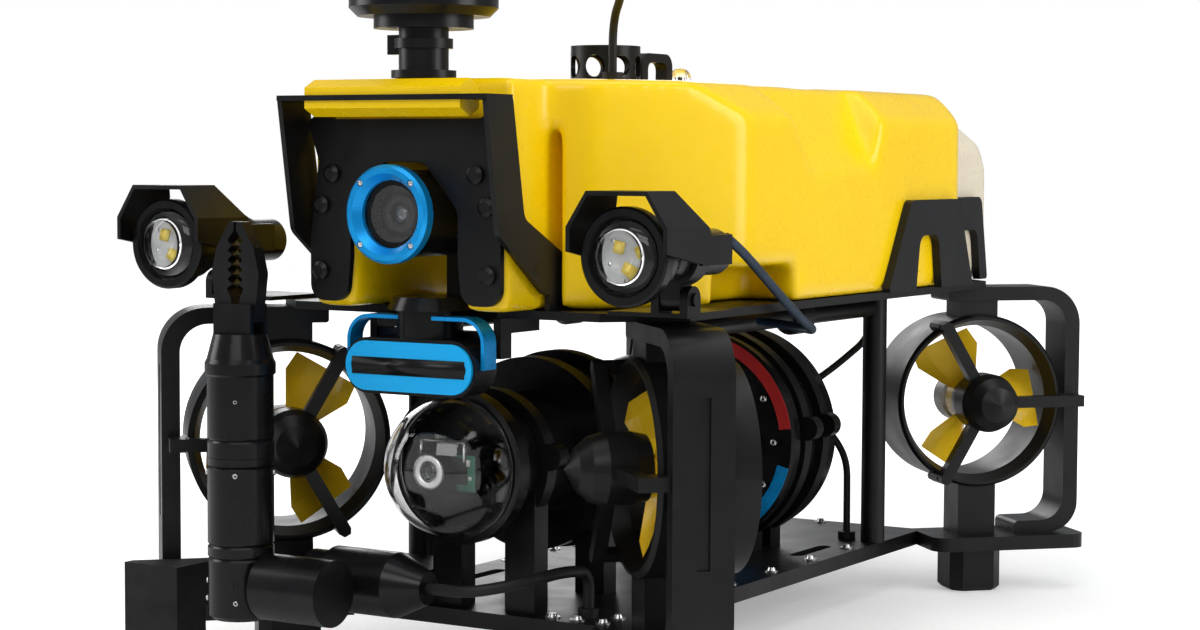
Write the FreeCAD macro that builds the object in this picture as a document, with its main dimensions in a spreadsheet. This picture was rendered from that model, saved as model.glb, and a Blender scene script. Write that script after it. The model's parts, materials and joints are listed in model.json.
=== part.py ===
import FreeCAD, Part
import math
import os
import Sketcher
from FreeCAD import Placement, Rotation, Vector

# Underwater inspection vehicle, in millimetres. Its front looks along -Y, its port side along +X
# and +Z is up; the floor under the skid feet is z = 0.  Every size is a named value on the sheet.

doc = FreeCAD.newDocument("InspectionVehicle")
sheet = doc.addObject("Spreadsheet::Sheet", "Size")

SIZES = [
    # frame
    ("foot_height", 50.0), ("foot_width", 62.0), ("foot_chamfer", 12.0),
    ("plate_thick", 16.0), ("spine_half", 150.0), ("spine_front", 340.0), ("spine_rear", 380.0),
    ("lobe_reach", 127.0), ("lobe_inner", 60.0), ("lobe_lead", 20.0), ("lobe_trail", 64.0),
    ("waist_round", 22.0), ("lobe_round", 18.0),
    ("accessory_bolt_x", 125.0), ("accessory_bolt_y", 50.0), ("accessory_hole", 4.5),
    ("slot_radius", 8.0), ("slot_half", 34.0), ("slot_out", 110.0), ("slot_along", 165.0),
    ("frame_under", 354.0), ("frame_thick", 8.0), ("frame_half", 232.0),
    ("frame_front", 395.0), ("frame_rear", 425.0), ("frame_corner", 60.0), ("frame_notch_half", 62.0),
    ("frame_notch_deep", 33.0), ("window_half", 98.0), ("front_window_start", 310.0),
    ("front_window_end", 100.0), ("rear_window_start", 75.0), ("rear_window_end", 340.0),
    ("post_radius", 13.5), ("post_out", 140.0), ("front_post", 229.0), ("rear_post", 263.0),
    ("rail_radius", 10.0), ("rail_drop", 20.0), ("rail_hub", 19.0), ("rail_hub_along", 60.0),
    ("pillar_width", 46.0), ("pillar_depth", 44.0), ("pillar_back", 8.0), ("seat_gap", 0.3),
    ("guard_reach", 125.0), ("guard_wall", 18.0), ("guard_front", 5.0), ("guard_depth", 56.0),
    ("guard_arm", 16.0), ("guard_foot", 14.0), ("guard_round", 44.0), ("guard_groove", 12.0),
    ("guard_groove_deep", 3.0),
    # vectored thrusters
    ("thruster_height", 222.0), ("front_thruster_out", 194.0), ("front_thruster_along", 376.0),
    ("rear_thruster_out", 223.0), ("rear_thruster_along", 376.0),
    ("nozzle_radius", 100.0), ("nozzle_length", 94.0), ("nozzle_taper", 2.0), ("throat_radius", 87.0),
    ("mouth_radius", 94.0), ("inlet_depth", 18.0),
    ("hub_radius", 33.5), ("nose_length", 62.0), ("nose_tip", 5.0), ("hub_shoulder", 26.0),
    ("hub_skirt", 14.0), ("strut_width", 13.0), ("strut_thick", 13.0), ("strut_front", 24.0),
    ("shaft_radius", 6.0), ("running_fit", 0.05), ("tail_radius", 29.0), ("tail_length", 34.0),
    ("blade_tip", 84.0), ("blade_hub", 27.0), ("blade_hub_length", 30.0), ("hub_gap", 2.0),
    ("blade_root_chord", 40.0), ("blade_tip_chord", 78.0), ("blade_thick", 4.0),
    ("blade_root_pitch", 50.0), ("blade_middle_pitch", 34.0), ("blade_tip_pitch", 26.0), ("tail_slot", 4.0),
    # vertical thrusters
    ("tunnel_out", 105.0), ("tunnel_along", 15.0), ("tunnel_radius", 68.0), ("lift_tip", 64.0),
    ("lift_height", 470.0), ("lift_hub", 22.0), ("lift_hub_length", 46.0), ("lift_strut", 10.0),
    # float
    ("float_under", 362.3), ("float_top", 574.0), ("float_half", 238.0), ("float_front_half", 108.0),
    ("float_front", 450.0), ("float_rear", 290.0), ("nose_side", 386.0), ("nose_corner", 368.0),
    ("nose_half", 146.0),
    ("cheek_corner", 235.0), ("top_inset", 38.0), ("bevel_under", 541.0), ("shelf_height", 492.0),
    ("front_rake", 8.0), ("rake_height", 499.0), ("edge_round", 10.0),
    ("pocket_front_end", 375.0), ("pocket_front_top", 328.0),
    ("pocket_rear_start", 95.0), ("pocket_rear_top", 155.0),
    ("pocket_rear_end", 45.0), ("pocket_rear_top_end", 75.0),
    ("notch_start", 262.0), ("notch_end", 130.0), ("notch_height", 36.0), ("notch_deep", 60.0),
    ("tunnel_half", 60.0), ("tunnel_crown", 505.0), ("camera_tunnel_end", 250.0),
    ("stern_half", 200.0), ("stern_length", 152.0), ("stern_top", 560.0), ("stern_under", 362.3),
    ("stern_bevel", 44.0), ("slot_clear", 3.0), ("strap_slot_long", 112.0), ("strap_slot_top", 530.0),
    ("clip_start", 63.0), ("clip_length", 226.0), ("clip_height", 96.0), ("clip_slope", 58.0),
    ("clip_thick", 9.0), ("clip_arch", 34.0), ("clip_arch_height", 58.0), ("clip_arch_centre", 168.0),
    ("stern_clip_start", 312.0), ("stern_clip_length", 112.0),
    # front plate, bumper and bolts
    ("camera_plate_thick", 6.0), ("camera_plate_half", 106.0),
    ("camera_plate_foot", 368.0), ("camera_plate_top", 545.0), ("camera_plate_top_half", 82.0),
    ("camera_plate_leg", 42.0), ("bolt_head", 8.5), ("bolt_head_tall", 6.0),
    ("bumper_half", 86.0), ("bumper_out", 494.0), ("bumper_height", 555.0), ("bumper_tall", 34.0),
    ("bumper_deep", 30.0), ("strap_half", 116.0), ("strap_thick", 5.0), ("strap_width", 42.0),
    ("strap_knee_height", 437.0), ("strap_knee_back", 20.0), ("strap_foot_back", 104.0),
    ("strap_foot_height", 385.0),
    # main camera
    ("camera_height", 450.0), ("camera_face", 485.0), ("bezel_radius", 45.0), ("bezel_thick", 12.0),
    ("bezel_bore", 31.0), ("bezel_cone", 37.0), ("barrel_radius", 40.0), ("barrel_length", 190.0),
    ("lens_radius", 14.0), ("lens_depth", 24.0), ("window_thick", 4.0),
    ("bezel_bolt_ring", 39.5), ("bezel_bolt", 3.2),
    ("saddle_half", 54.0), ("saddle_front", 358.0), ("saddle_long", 45.0), ("saddle_thick", 6.0),
    ("saddle_web", 30.0),
    # lights
    ("light_out", 253.0), ("light_height", 418.0), ("light_face", 491.0), ("light_ring", 43.0),
    ("light_ring_long", 12.0), ("light_body", 34.0), ("light_neck", 24.0), ("light_fin", 5.0),
    ("light_tail", 21.0), ("light_length", 158.0), ("light_bowl", 35.0), ("light_bowl_deep", 16.0),
    ("emitter_radius", 23.0), ("emitter_thick", 4.0), ("light_pivot_back", 92.0),
    ("light_pivot_drop", 40.0), ("hood_half", 50.0), ("hood_rise", 56.0), ("hood_flat", 30.0),
    ("hood_sheet", 4.0), ("hood_long", 76.0), ("hood_lead", 12.0), ("bracket_thick", 8.0),
    ("shelf_inner", 190.0), ("shelf_long", 84.0), ("pivot_radius", 6.0),
    # imaging sonar
    ("sonar_height", 309.0), ("sonar_face", 450.0), ("sonar_wide", 141.0), ("sonar_tall", 46.0),
    ("sonar_deep", 34.0), ("sonar_trim", 3.0), ("sonar_window_tall", 16.0), ("turret_radius", 31.0),
    ("turret_rise", 26.0), ("turret_cap", 40.0), ("turret_cap_tall", 12.0), ("sonar_pivot_back", 52.0),
    ("sonar_pivot_rise", 20.0), ("hoop_radius", 74.0), ("hoop_thick", 8.0), ("hoop_width", 18.0),
    ("hoop_reach", 66.0), ("band_thick", 3.5), ("band_wide", 20.0), ("band_back", 8.0),
    ("band_rise", 2.0),
    # dome camera and its pod
    ("dome_height", 209.0), ("dome_centre", 373.0), ("dome_radius", 67.0), ("dome_wall", 3.0),
    ("dome_ring", 74.0), ("dome_ring_long", 16.0), ("pod_neck", 62.0), ("pod_flange", 96.0),
    ("pod_flange_front", 245.0), ("pod_flange_long", 18.0), ("camera_pod_radius", 90.0),
    ("camera_pod_rear", 140.0), ("tilt_radius", 26.0), ("tilt_half", 34.0), ("tilt_lens", 17.0),
    ("yoke_thick", 4.0),
    # electronics pod
    ("pod_height", 192.0), ("pod_radius", 112.0), ("pod_front", 105.0), ("pod_length", 104.0),
    ("pod_rim", 118.0), ("pod_rim_long", 16.0), ("cap_recess", 104.0), ("cap_recess_deep", 5.0),
    ("port_radius", 9.0), ("port_tall", 12.0), ("port_ring", 62.0), ("screw_ring", 96.0),
    ("clamp_wall", 9.0), ("clamp_wide", 16.0), ("clamp_lug", 13.0), ("clamp_foot_half", 42.0),
    # mast and top fittings
    ("mast_along", 424.0), ("mast_radius", 23.0), ("mast_top", 630.0), ("mast_foot", 30.0),
    ("mast_foot_thick", 7.0), ("mast_flange", 46.0), ("mast_flange_thick", 11.0), ("head_radius", 69.0),
    ("head_height", 72.0), ("head_bevel", 8.0), ("mast_clamp_long", 18.0), ("mast_band", 4.0),
    ("cage_along", 100.0), ("cage_radius", 36.0), ("cage_height", 42.0), ("cage_wall", 5.0),
    ("cage_port", 11.0), ("handle_along", 4.0), ("handle_long", 64.0), ("handle_height", 38.0),
    ("handle_bar", 12.0), ("handle_thick", 14.0), ("beacon_along", 57.0), ("beacon_radius", 13.0),
    ("beacon_height", 24.0), ("beacon_base", 9.0), ("beacon_base_tall", 5.0),
    # manipulator
    ("arm_out", 156.0), ("arm_along", 499.0), ("arm_pivot_height", 102.0), ("arm_radius", 31.0),
    ("arm_tube_top", 222.0), ("wrist_top", 314.0), ("collar_top", 345.0), ("arm_joint_gap", 0.4),
    ("shoulder_along", 428.0), ("shoulder_port", 26.0), ("elbow_port", 48.0), ("shoulder_cone", 34.0),
    ("jaw_length", 84.0), ("jaw_thick", 14.0), ("jaw_root", 24.0), ("jaw_pivot", 14.0),
    ("jaw_pin", 4.0), ("jaw_teeth", 6.0),
    ("block_out", 240.0), ("block_wide", 66.0), ("block_front", 493.0), ("block_under", 30.0),
    ("block_height", 108.0), ("plinth_out", 180.0), ("plinth_inner", 64.0), ("plinth_front", 394.0),
    ("plinth_rear", 250.0), ("plinth_top", 98.0), ("shoulder_radius", 31.0), ("elbow_radius", 31.0), ("link_radius", 26.0),
    ("arm_pin", 8.0), ("link_thick", 24.0),
    # cables and the middle of the vehicle
    ("cable_radius", 4.0), ("arm_cable_radius", 5.5), ("gland_radius", 10.0), ("gland_tall", 9.0),
    ("plug_radius", 9.0), ("plug_long", 30.0), ("middle_shift", 10.118),
    # deck screws
    ("washer_radius", 7.5), ("washer_thick", 1.2), ("pan_radius", 5.0), ("pan_tall", 3.2),
    ("screw_inset", 14.0), ("screw_inner", 24.0), ("screw_pitch", 92.0),
]

for row, (alias, number) in enumerate(SIZES, start=1):
    sheet.set("A%d" % row, alias)
    sheet.set("B%d" % row, str(number))
    sheet.setAlias("B%d" % row, alias)
doc.recompute()


class SheetReader:
    """Gives the sheet's numbers to the shapes that code builds."""

    def __getattr__(self, alias):
        return float(sheet.get(alias))


size = SheetReader()
sub_parts = []

TO_FRONT = Rotation(Vector(1, 0, 0), 90)
TO_REAR = Rotation(Vector(1, 0, 0), -90)
TO_PORT = Rotation(Vector(0, 1, 0), 90)
UPRIGHT = Rotation()


# ---------------------------------------------------------------- helpers

along_formulas = {}


def keep(item, label):
    """Names a finished sub-part, moves it to the middle of the vehicle and lists it for export."""
    item.Label = label
    if item.Name in along_formulas:
        item.setExpression("Placement.Base.y", along_formulas[item.Name] + " + Size.middle_shift")
    else:
        moved = item.Placement
        moved.Base.y += size.middle_shift
        item.Placement = moved
    sub_parts.append(item)
    return item


def place(item, x, y, z, turn=UPRIGHT):
    item.Placement = Placement(Vector(), turn)
    item.setExpression("Placement.Base.x", x)
    item.setExpression("Placement.Base.y", y)
    item.setExpression("Placement.Base.z", z)
    along_formulas[item.Name] = y
    return item


def box(name, length, width, height, x, y, z, turn=UPRIGHT):
    item = doc.addObject("Part::Box", name)
    item.setExpression("Length", length)
    item.setExpression("Width", width)
    item.setExpression("Height", height)
    return place(item, x, y, z, turn)


def cylinder(name, radius, height, x, y, z, turn=UPRIGHT):
    item = doc.addObject("Part::Cylinder", name)
    item.setExpression("Radius", radius)
    item.setExpression("Height", height)
    return place(item, x, y, z, turn)


def cone(name, radius1, radius2, height, x, y, z, turn=UPRIGHT):
    item = doc.addObject("Part::Cone", name)
    item.setExpression("Radius1", radius1)
    item.setExpression("Radius2", radius2)
    item.setExpression("Height", height)
    return place(item, x, y, z, turn)


def mirrored(name, source):
    """The same piece on the starboard side."""
    item = doc.addObject("Part::Mirroring", name)
    item.Source = source
    item.Normal = Vector(1, 0, 0)
    return item


def fused(name, items):
    item = doc.addObject("Part::MultiFuse", name)
    item.Shapes = items
    item.Refine = True
    return item


def cut(name, base, tools):
    item = doc.addObject("Part::Cut", name)
    item.Base = base
    item.Tool = tools[0] if len(tools) == 1 else fused(name + "Tools", tools)
    item.Refine = True
    return item


def common(name, items):
    item = doc.addObject("Part::MultiCommon", name)
    item.Shapes = items
    return item


def group(name, items):
    item = doc.addObject("Part::Compound", name)
    item.Links = items
    return item


def coded(name, shape, placement=None):
    """A sub-part whose shape is made with Part's functions from the sheet's sizes."""
    item = doc.addObject("Part::Feature", name)
    if placement is not None:
        shape = shape.copy()
        shape.Placement = placement.multiply(shape.Placement)
    item.Shape = shape
    return item


def filleted(name, base, choose, radius):
    """Rounds the edges that choose(edge) picks."""
    doc.recompute()
    item = doc.addObject("Part::Fillet", name)
    item.Base = base
    edges = base.Shape.Edges
    item.Edges = [(number, radius, radius) for number, edge in enumerate(edges, start=1) if choose(edge)]
    return item


def is_upright(edge):
    start, end = edge.Vertexes[0].Point, edge.Vertexes[-1].Point
    return math.hypot(end.x - start.x, end.y - start.y) < 0.01 and abs(end.z - start.z) > 1


def origin_plane(body, role):
    for feature in body.Origin.OriginFeatures:
        if feature.Role == role:
            return feature
    raise ValueError(role)


def add_sketch(body, name, role, offset=None):
    sketch = body.newObject("Sketcher::SketchObject", name)
    sketch.AttachmentSupport = [(origin_plane(body, role), "")]
    sketch.MapMode = "FlatFace"
    if offset is not None:
        sketch.setExpression("AttachmentOffset.Base.z", offset)
    return sketch


def hold(sketch, kind, curve, point, formula):
    """Holds one point of a curve at a distance from the sketch's origin."""
    if formula == "0":
        axis = -2 if kind == "DistanceX" else -1
        sketch.addConstraint(Sketcher.Constraint("PointOnObject", curve, point, axis))
        return
    number = sketch.addConstraint(Sketcher.Constraint(kind, -1, 1, curve, point, 50.0))
    sketch.setExpression("Constraints[%d]" % number, formula)


def draw_outline(sketch, corners):
    """Closed outline of straight edges; each corner is a pair of formulas."""
    count = len(corners)
    first = sketch.GeometryCount
    ring = [Rotation(Vector(0, 0, 1), 360 * step / count).multVec(Vector(90, 0, 0)) for step in range(count)]
    for step in range(count):
        sketch.addGeometry(Part.LineSegment(ring[step], ring[(step + 1) % count]))
    for step in range(count):
        sketch.addConstraint(Sketcher.Constraint("Coincident", first + step, 2, first + (step + 1) % count, 1))
    for step, (across, along) in enumerate(corners):
        hold(sketch, "DistanceX", first + step, 1, across)
        hold(sketch, "DistanceY", first + step, 1, along)


def draw_circle(sketch, across, along, radius):
    curve = sketch.addGeometry(Part.Circle(Vector(5, 5, 0), Vector(0, 0, 1), 4))
    hold(sketch, "DistanceX", curve, 3, across)
    hold(sketch, "DistanceY", curve, 3, along)
    number = sketch.addConstraint(Sketcher.Constraint("Radius", curve, 4.0))
    sketch.setExpression("Constraints[%d]" % number, radius)


def pad(body, name, sketch, length, backward=False):
    feature = body.newObject("PartDesign::Pad", name)
    feature.Profile = sketch
    feature.setExpression("Length", length)
    feature.Reversed = backward
    return feature


def pocket(body, name, sketch, length, backward=False):
    feature = body.newObject("PartDesign::Pocket", name)
    feature.Profile = sketch
    feature.setExpression("Length", length)
    feature.Reversed = backward
    return feature


def revolved(name, corners, role="XZ_Plane"):
    """A turned body; corners are (radius, height) formulas about the sketch's upright axis."""
    body = doc.addObject("PartDesign::Body", name)
    sketch = add_sketch(body, name + "Profile", role)
    draw_outline(sketch, corners)
    turn = body.newObject("PartDesign::Revolution", name + "Turn")
    turn.Profile = sketch
    turn.ReferenceAxis = (sketch, ["V_Axis"])
    turn.Angle = 360
    return body


def rounded_face(corners):
    """Flat face in XY from (x, y, corner radius) points, with tangent arcs at the corners."""
    count = len(corners)
    edges = []
    last = None
    first = None
    for step in range(count):
        x, y, radius = corners[step]
        here = Vector(x, y, 0)
        before = (Vector(corners[step - 1][0], corners[step - 1][1], 0) - here).normalize()
        after_corner = corners[(step + 1) % count]
        after = (Vector(after_corner[0], after_corner[1], 0) - here).normalize()
        half = before.getAngle(after) / 2
        reach = radius / math.tan(half)
        start = here + before * reach
        end = here + after * reach
        if last is not None and last.distanceToPoint(start) > 1e-6:
            edges.append(Part.LineSegment(last, start).toShape())
        if radius > 0:
            inward = (before + after).normalize()
            middle = here + inward * (radius / math.sin(half) - radius)
            edges.append(Part.Arc(start, middle, end).toShape())
        if first is None:
            first = start
        last = end
    if last.distanceToPoint(first) > 1e-6:
        edges.append(Part.LineSegment(last, first).toShape())
    return Part.Face(Part.Wire(edges))


def cord_tube(points, radius):
    """A tube along straight runs joined by tangent arcs, each as large as its two runs allow."""
    route = [Vector(*point) for point in points]
    edges = []
    last = route[0]
    for step in range(1, len(route) - 1):
        here = route[step]
        before = route[step - 1] - here
        after = route[step + 1] - here
        run = 0.45 * min(before.Length, after.Length)
        before.normalize()
        after.normalize()
        half = before.getAngle(after) / 2
        bend = run * math.tan(half)
        start = here + before * run
        end = here + after * run
        middle = here + (before + after).normalize() * (bend / math.sin(half) - bend)
        edges.append(Part.LineSegment(last, start).toShape())
        edges.append(Part.Arc(start, middle, end).toShape())
        print("  bend radius %.1f" % bend)
        last = end
    edges.append(Part.LineSegment(last, route[-1]).toShape())
    path = Part.Wire(edges)
    profile = Part.Wire(Part.Circle(route[0], route[1] - route[0], radius).toShape())
    tube = path.makePipeShell([profile], True, True)
    print("  tube volume against section x length: %.4f" % (tube.Volume / (math.pi * radius ** 2 * path.Length)))
    return tube


def thruster_frame(out, along, side, end):
    """Thruster axes: local Z towards the nose, local X outboard, at the middle of the rim."""
    half = math.sqrt(0.5)
    if end == "front":
        nose = Vector(-side * half, -half, 0)
        outboard = Vector(side * half, -half, 0)
    else:
        nose = Vector(side * half, -half, 0)
        outboard = Vector(side * half, half, 0)
    turn = Rotation(outboard, nose.cross(outboard), nose, "ZXY")
    middle = along if end == "rear" else -along
    return Placement(Vector(side * out, middle, size.thruster_height), turn)


THRUSTERS = [
    ("front_port", size.front_thruster_out, size.front_thruster_along, 1, "front"),
    ("front_starboard", size.front_thruster_out, size.front_thruster_along, -1, "front"),
    ("rear_port", size.rear_thruster_out, size.rear_thruster_along, 1, "rear"),
    ("rear_starboard", size.rear_thruster_out, size.rear_thruster_along, -1, "rear"),
]


def up_sign(spot):
    """+1 where the thruster's local Y points up, -1 where it points down."""
    return 1 if spot.Rotation.multVec(Vector(0, 1, 0)).z > 0 else -1


# ---------------------------------------------------------------- frame

def make_base_plate():
    """Spine with four lobes that turn out to the thrusters, a waist between them, holes and slots."""
    spine = box("Spine", "2 * Size.spine_half", "Size.spine_front + Size.spine_rear", "Size.plate_thick",
                "-Size.spine_half", "-Size.spine_front", "Size.foot_height")
    pieces = [spine]
    for name, out, along, side, end in THRUSTERS:
        spot = thruster_frame(out, along, side, end)
        lobe = Part.makeBox(size.lobe_reach + size.lobe_inner, size.plate_thick,
                            size.lobe_lead + size.lobe_trail,
                            Vector(-size.lobe_inner, -size.plate_thick / 2, -size.lobe_trail))
        spot.Base = Vector(spot.Base.x, spot.Base.y, size.foot_height + size.plate_thick / 2)
        pieces.append(coded("Lobe_" + name, lobe, spot))
    whole = fused("PlateBlank", pieces)
    doc.recompute()

    def at_waist(edge):
        point = edge.Vertexes[0].Point
        return is_upright(edge) and abs(abs(point.x) - size.spine_half) < 0.1 and abs(point.y) < size.spine_front - 1

    def at_lobe(edge):
        point = edge.Vertexes[0].Point
        return is_upright(edge) and abs(point.x) > size.spine_half + size.lobe_round

    waist = filleted("PlateWaist", whole, at_waist, size.waist_round)
    rounded = filleted("PlateRounded", waist, at_lobe, size.lobe_round)
    tools = []
    for number, (side, along) in enumerate(((1, 1), (1, -1), (-1, 1), (-1, -1))):
        tools.append(cylinder("PlateHole%d" % number, "Size.accessory_hole", "3 * Size.plate_thick",
                              "%d * Size.accessory_bolt_x" % side, "%d * Size.accessory_bolt_y" % along,
                              "Size.foot_height - Size.plate_thick"))
        middle = "%d * Size.slot_along" % along
        edge_x = "%d * Size.slot_out" % side
        slab = box("SlotSlab%d" % number, "2 * Size.slot_radius", "2 * Size.slot_half", "3 * Size.plate_thick",
                   edge_x + " - Size.slot_radius", middle + " - Size.slot_half",
                   "Size.foot_height - Size.plate_thick")
        tools.append(slab)
        for end in (1, -1):
            tools.append(cylinder("SlotEnd%d%s" % (number, "a" if end > 0 else "b"), "Size.slot_radius",
                                  "3 * Size.plate_thick", edge_x, "%s + %d * Size.slot_half" % (middle, end),
                                  "Size.foot_height - Size.plate_thick"))
    return keep(cut("BasePlate", rounded, tools), "base_plate")


def make_top_frame():
    """Flat frame under the float, with windows and the two lift tunnels cut through it."""
    body = doc.addObject("PartDesign::Body", "TopFrame")
    sketch = add_sketch(body, "TopFrameOutline", "XY_Plane", "Size.frame_under")
    half, bevel = "Size.frame_half", "Size.frame_corner"
    front, rear = "-Size.frame_front", "Size.frame_rear"
    notch = "Size.frame_notch_half"
    back = front + " + Size.frame_notch_deep"
    draw_outline(sketch, [
        ("-%s + %s" % (half, bevel), front), ("-" + notch, front), ("-" + notch, back), (notch, back),
        (notch, front), ("%s - %s" % (half, bevel), front),
        (half, "%s + %s" % (front, bevel)), (half, "%s - %s" % (rear, bevel)),
        ("%s - %s" % (half, bevel), rear), ("-%s + %s" % (half, bevel), rear),
        ("-" + half, "%s - %s" % (rear, bevel)), ("-" + half, "%s + %s" % (front, bevel))])
    pad(body, "TopFramePlate", sketch, "Size.frame_thick")
    openings = add_sketch(body, "TopFrameOpenings", "XY_Plane", "Size.frame_under")
    for along in (("-Size.front_window_start", "-Size.front_window_end"),
                  ("Size.rear_window_start", "Size.rear_window_end")):
        draw_outline(openings, [("-Size.window_half", along[0]), ("Size.window_half", along[0]),
                                ("Size.window_half", along[1]), ("-Size.window_half", along[1])])
    for side in ("", "-"):
        draw_circle(openings, side + "Size.tunnel_out", "-Size.tunnel_along", "Size.tunnel_radius")
    pocket(body, "TopFrameWindows", openings, "2 * Size.frame_thick", backward=True)
    return keep(body, "top_frame")


def make_guard(name, spot):
    """Corner guard: a C-shaped loop outboard of a thruster, with a groove down its broad face."""
    up = up_sign(spot)
    top = (size.frame_under - size.thruster_height) * up
    bottom = (size.foot_height + size.plate_thick - size.thruster_height) * up
    reach = size.guard_reach
    inner = reach - size.guard_wall
    under_arm = top - size.guard_arm * up
    over_foot = bottom + size.guard_foot * up
    big = size.guard_round
    small = big - size.guard_arm
    arm_end = -size.pillar_width / 2 - size.guard_arm
    foot_end = size.pillar_width
    loop = rounded_face([
        (arm_end, top, 3), (reach, top, big), (reach, bottom, big * 0.8), (foot_end, bottom, 0),
        (foot_end, over_foot, 6), (inner, over_foot, small), (inner, under_arm, small), (arm_end, under_arm, 3)])
    solid = loop.extrude(Vector(0, 0, -size.guard_depth))
    solid.translate(Vector(0, 0, -size.guard_front))
    groove = Part.makeBox(size.guard_groove_deep * 2, 1.5 * size.nozzle_radius, size.guard_groove)
    groove.translate(Vector(reach - size.guard_groove_deep, -0.75 * size.nozzle_radius,
                            -size.guard_front - (size.guard_depth + size.guard_groove) / 2))
    return coded(name, solid.cut(groove), spot)


def make_guards():
    for end in ("front", "rear"):
        loops = [make_guard("Guard_" + name, thruster_frame(out, along, side, where))
                 for name, out, along, side, where in THRUSTERS if where == end]
        keep(group(end.capitalize() + "Guards", loops), end + "_guards")


def nozzle_seat():
    """The nozzle's outside, larger by the seat's clearance, as a cutter for what carries it."""
    seat = Part.makeCone(size.nozzle_radius - size.nozzle_taper + size.seat_gap,
                         size.nozzle_radius + size.seat_gap, size.nozzle_length)
    seat.translate(Vector(0, 0, -size.nozzle_length))
    return seat


def make_pillars():
    """Round posts and rails, and the square pillars that hold each nozzle between plate and guard."""
    pieces = []
    for side in ("", "-"):
        tag = "P" if side == "" else "S"
        for end, along in (("F", "-Size.front_post"), ("R", "Size.rear_post")):
            pieces.append(cylinder("Post" + tag + end, "Size.post_radius",
                                   "Size.frame_under - Size.foot_height - Size.plate_thick",
                                   side + "Size.post_out", along, "Size.foot_height + Size.plate_thick"))
        rail = cylinder("Rail" + tag, "Size.rail_radius",
                        "Size.front_post + Size.rear_post - 2 * Size.post_radius - 2 * Size.seat_gap",
                        side + "Size.post_out", "-Size.front_post + Size.post_radius + Size.seat_gap",
                        "Size.frame_under - Size.rail_drop", TO_REAR)
        hub = cylinder("RailHub" + tag, "Size.rail_hub", "2 * Size.rail_hub", side + "Size.post_out",
                       "Size.rail_hub_along - Size.rail_hub", "Size.frame_under - Size.rail_drop", TO_REAR)
        hub_end = [edge for edge in range(1, 4)]
        turned = doc.addObject("Part::Chamfer", "RailHubShaped" + tag)
        doc.recompute()
        turned.Base = hub
        bevel = size.rail_hub * 0.35
        turned.Edges = [(number, bevel, bevel) for number in hub_end
                        if hub.Shape.Edges[number - 1].Curve.TypeId == "Part::GeomCircle"]
        pieces.append(fused("RailWithHub" + tag, [rail, turned]))
    for name, out, along, side, end in THRUSTERS:
        spot = thruster_frame(out, along, side, end)
        up = up_sign(spot)
        bottom = size.foot_height + size.plate_thick - size.thruster_height
        arm_under = size.frame_under - size.guard_arm - size.thruster_height
        for part, low, high in (("Lower", bottom, -size.nozzle_radius * 0.82),
                                ("Upper", size.nozzle_radius * 0.9, arm_under)):
            block = Part.makeBox(size.pillar_width, high - low, size.pillar_depth)
            block.translate(Vector(-size.pillar_width / 2, low, -size.pillar_back - size.pillar_depth))
            if up < 0:
                block = block.mirror(Vector(), Vector(0, 1, 0))
            block = block.cut(nozzle_seat())
            pieces.append(coded("Pillar" + part + "_" + name, block, spot))
    return keep(group("FramePillars", pieces), "frame_pillars")


def make_feet():
    """Square skid feet under the lobes, bevelled down their corners and round their soles."""
    feet = []
    for name, out, along, side, end in THRUSTERS:
        spot = thruster_frame(out, along, side, end)
        block = Part.makeBox(size.foot_width, size.foot_height, size.foot_width)
        depth = size.pillar_back + (size.pillar_depth + size.foot_width) / 2
        block.translate(Vector(-size.foot_width / 2, -size.foot_height / 2, -depth))
        upright = [edge for edge in block.Edges
                   if abs(edge.Vertexes[0].Y - edge.Vertexes[1].Y) > size.foot_height / 2]
        block = block.makeChamfer(size.foot_chamfer, upright)
        down = -up_sign(spot) * size.foot_height / 2
        sole = [edge for edge in block.Edges if all(abs(v.Y - down) < 1e-6 for v in edge.Vertexes)]
        block = block.makeChamfer(size.foot_chamfer / 3, sole)
        spot.Base = Vector(spot.Base.x, spot.Base.y, size.foot_height / 2)
        feet.append(coded("Foot_" + name, block, spot))
    return keep(group("SkidFeet", feet), "skid_feet")


# ---------------------------------------------------------------- float

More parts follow.
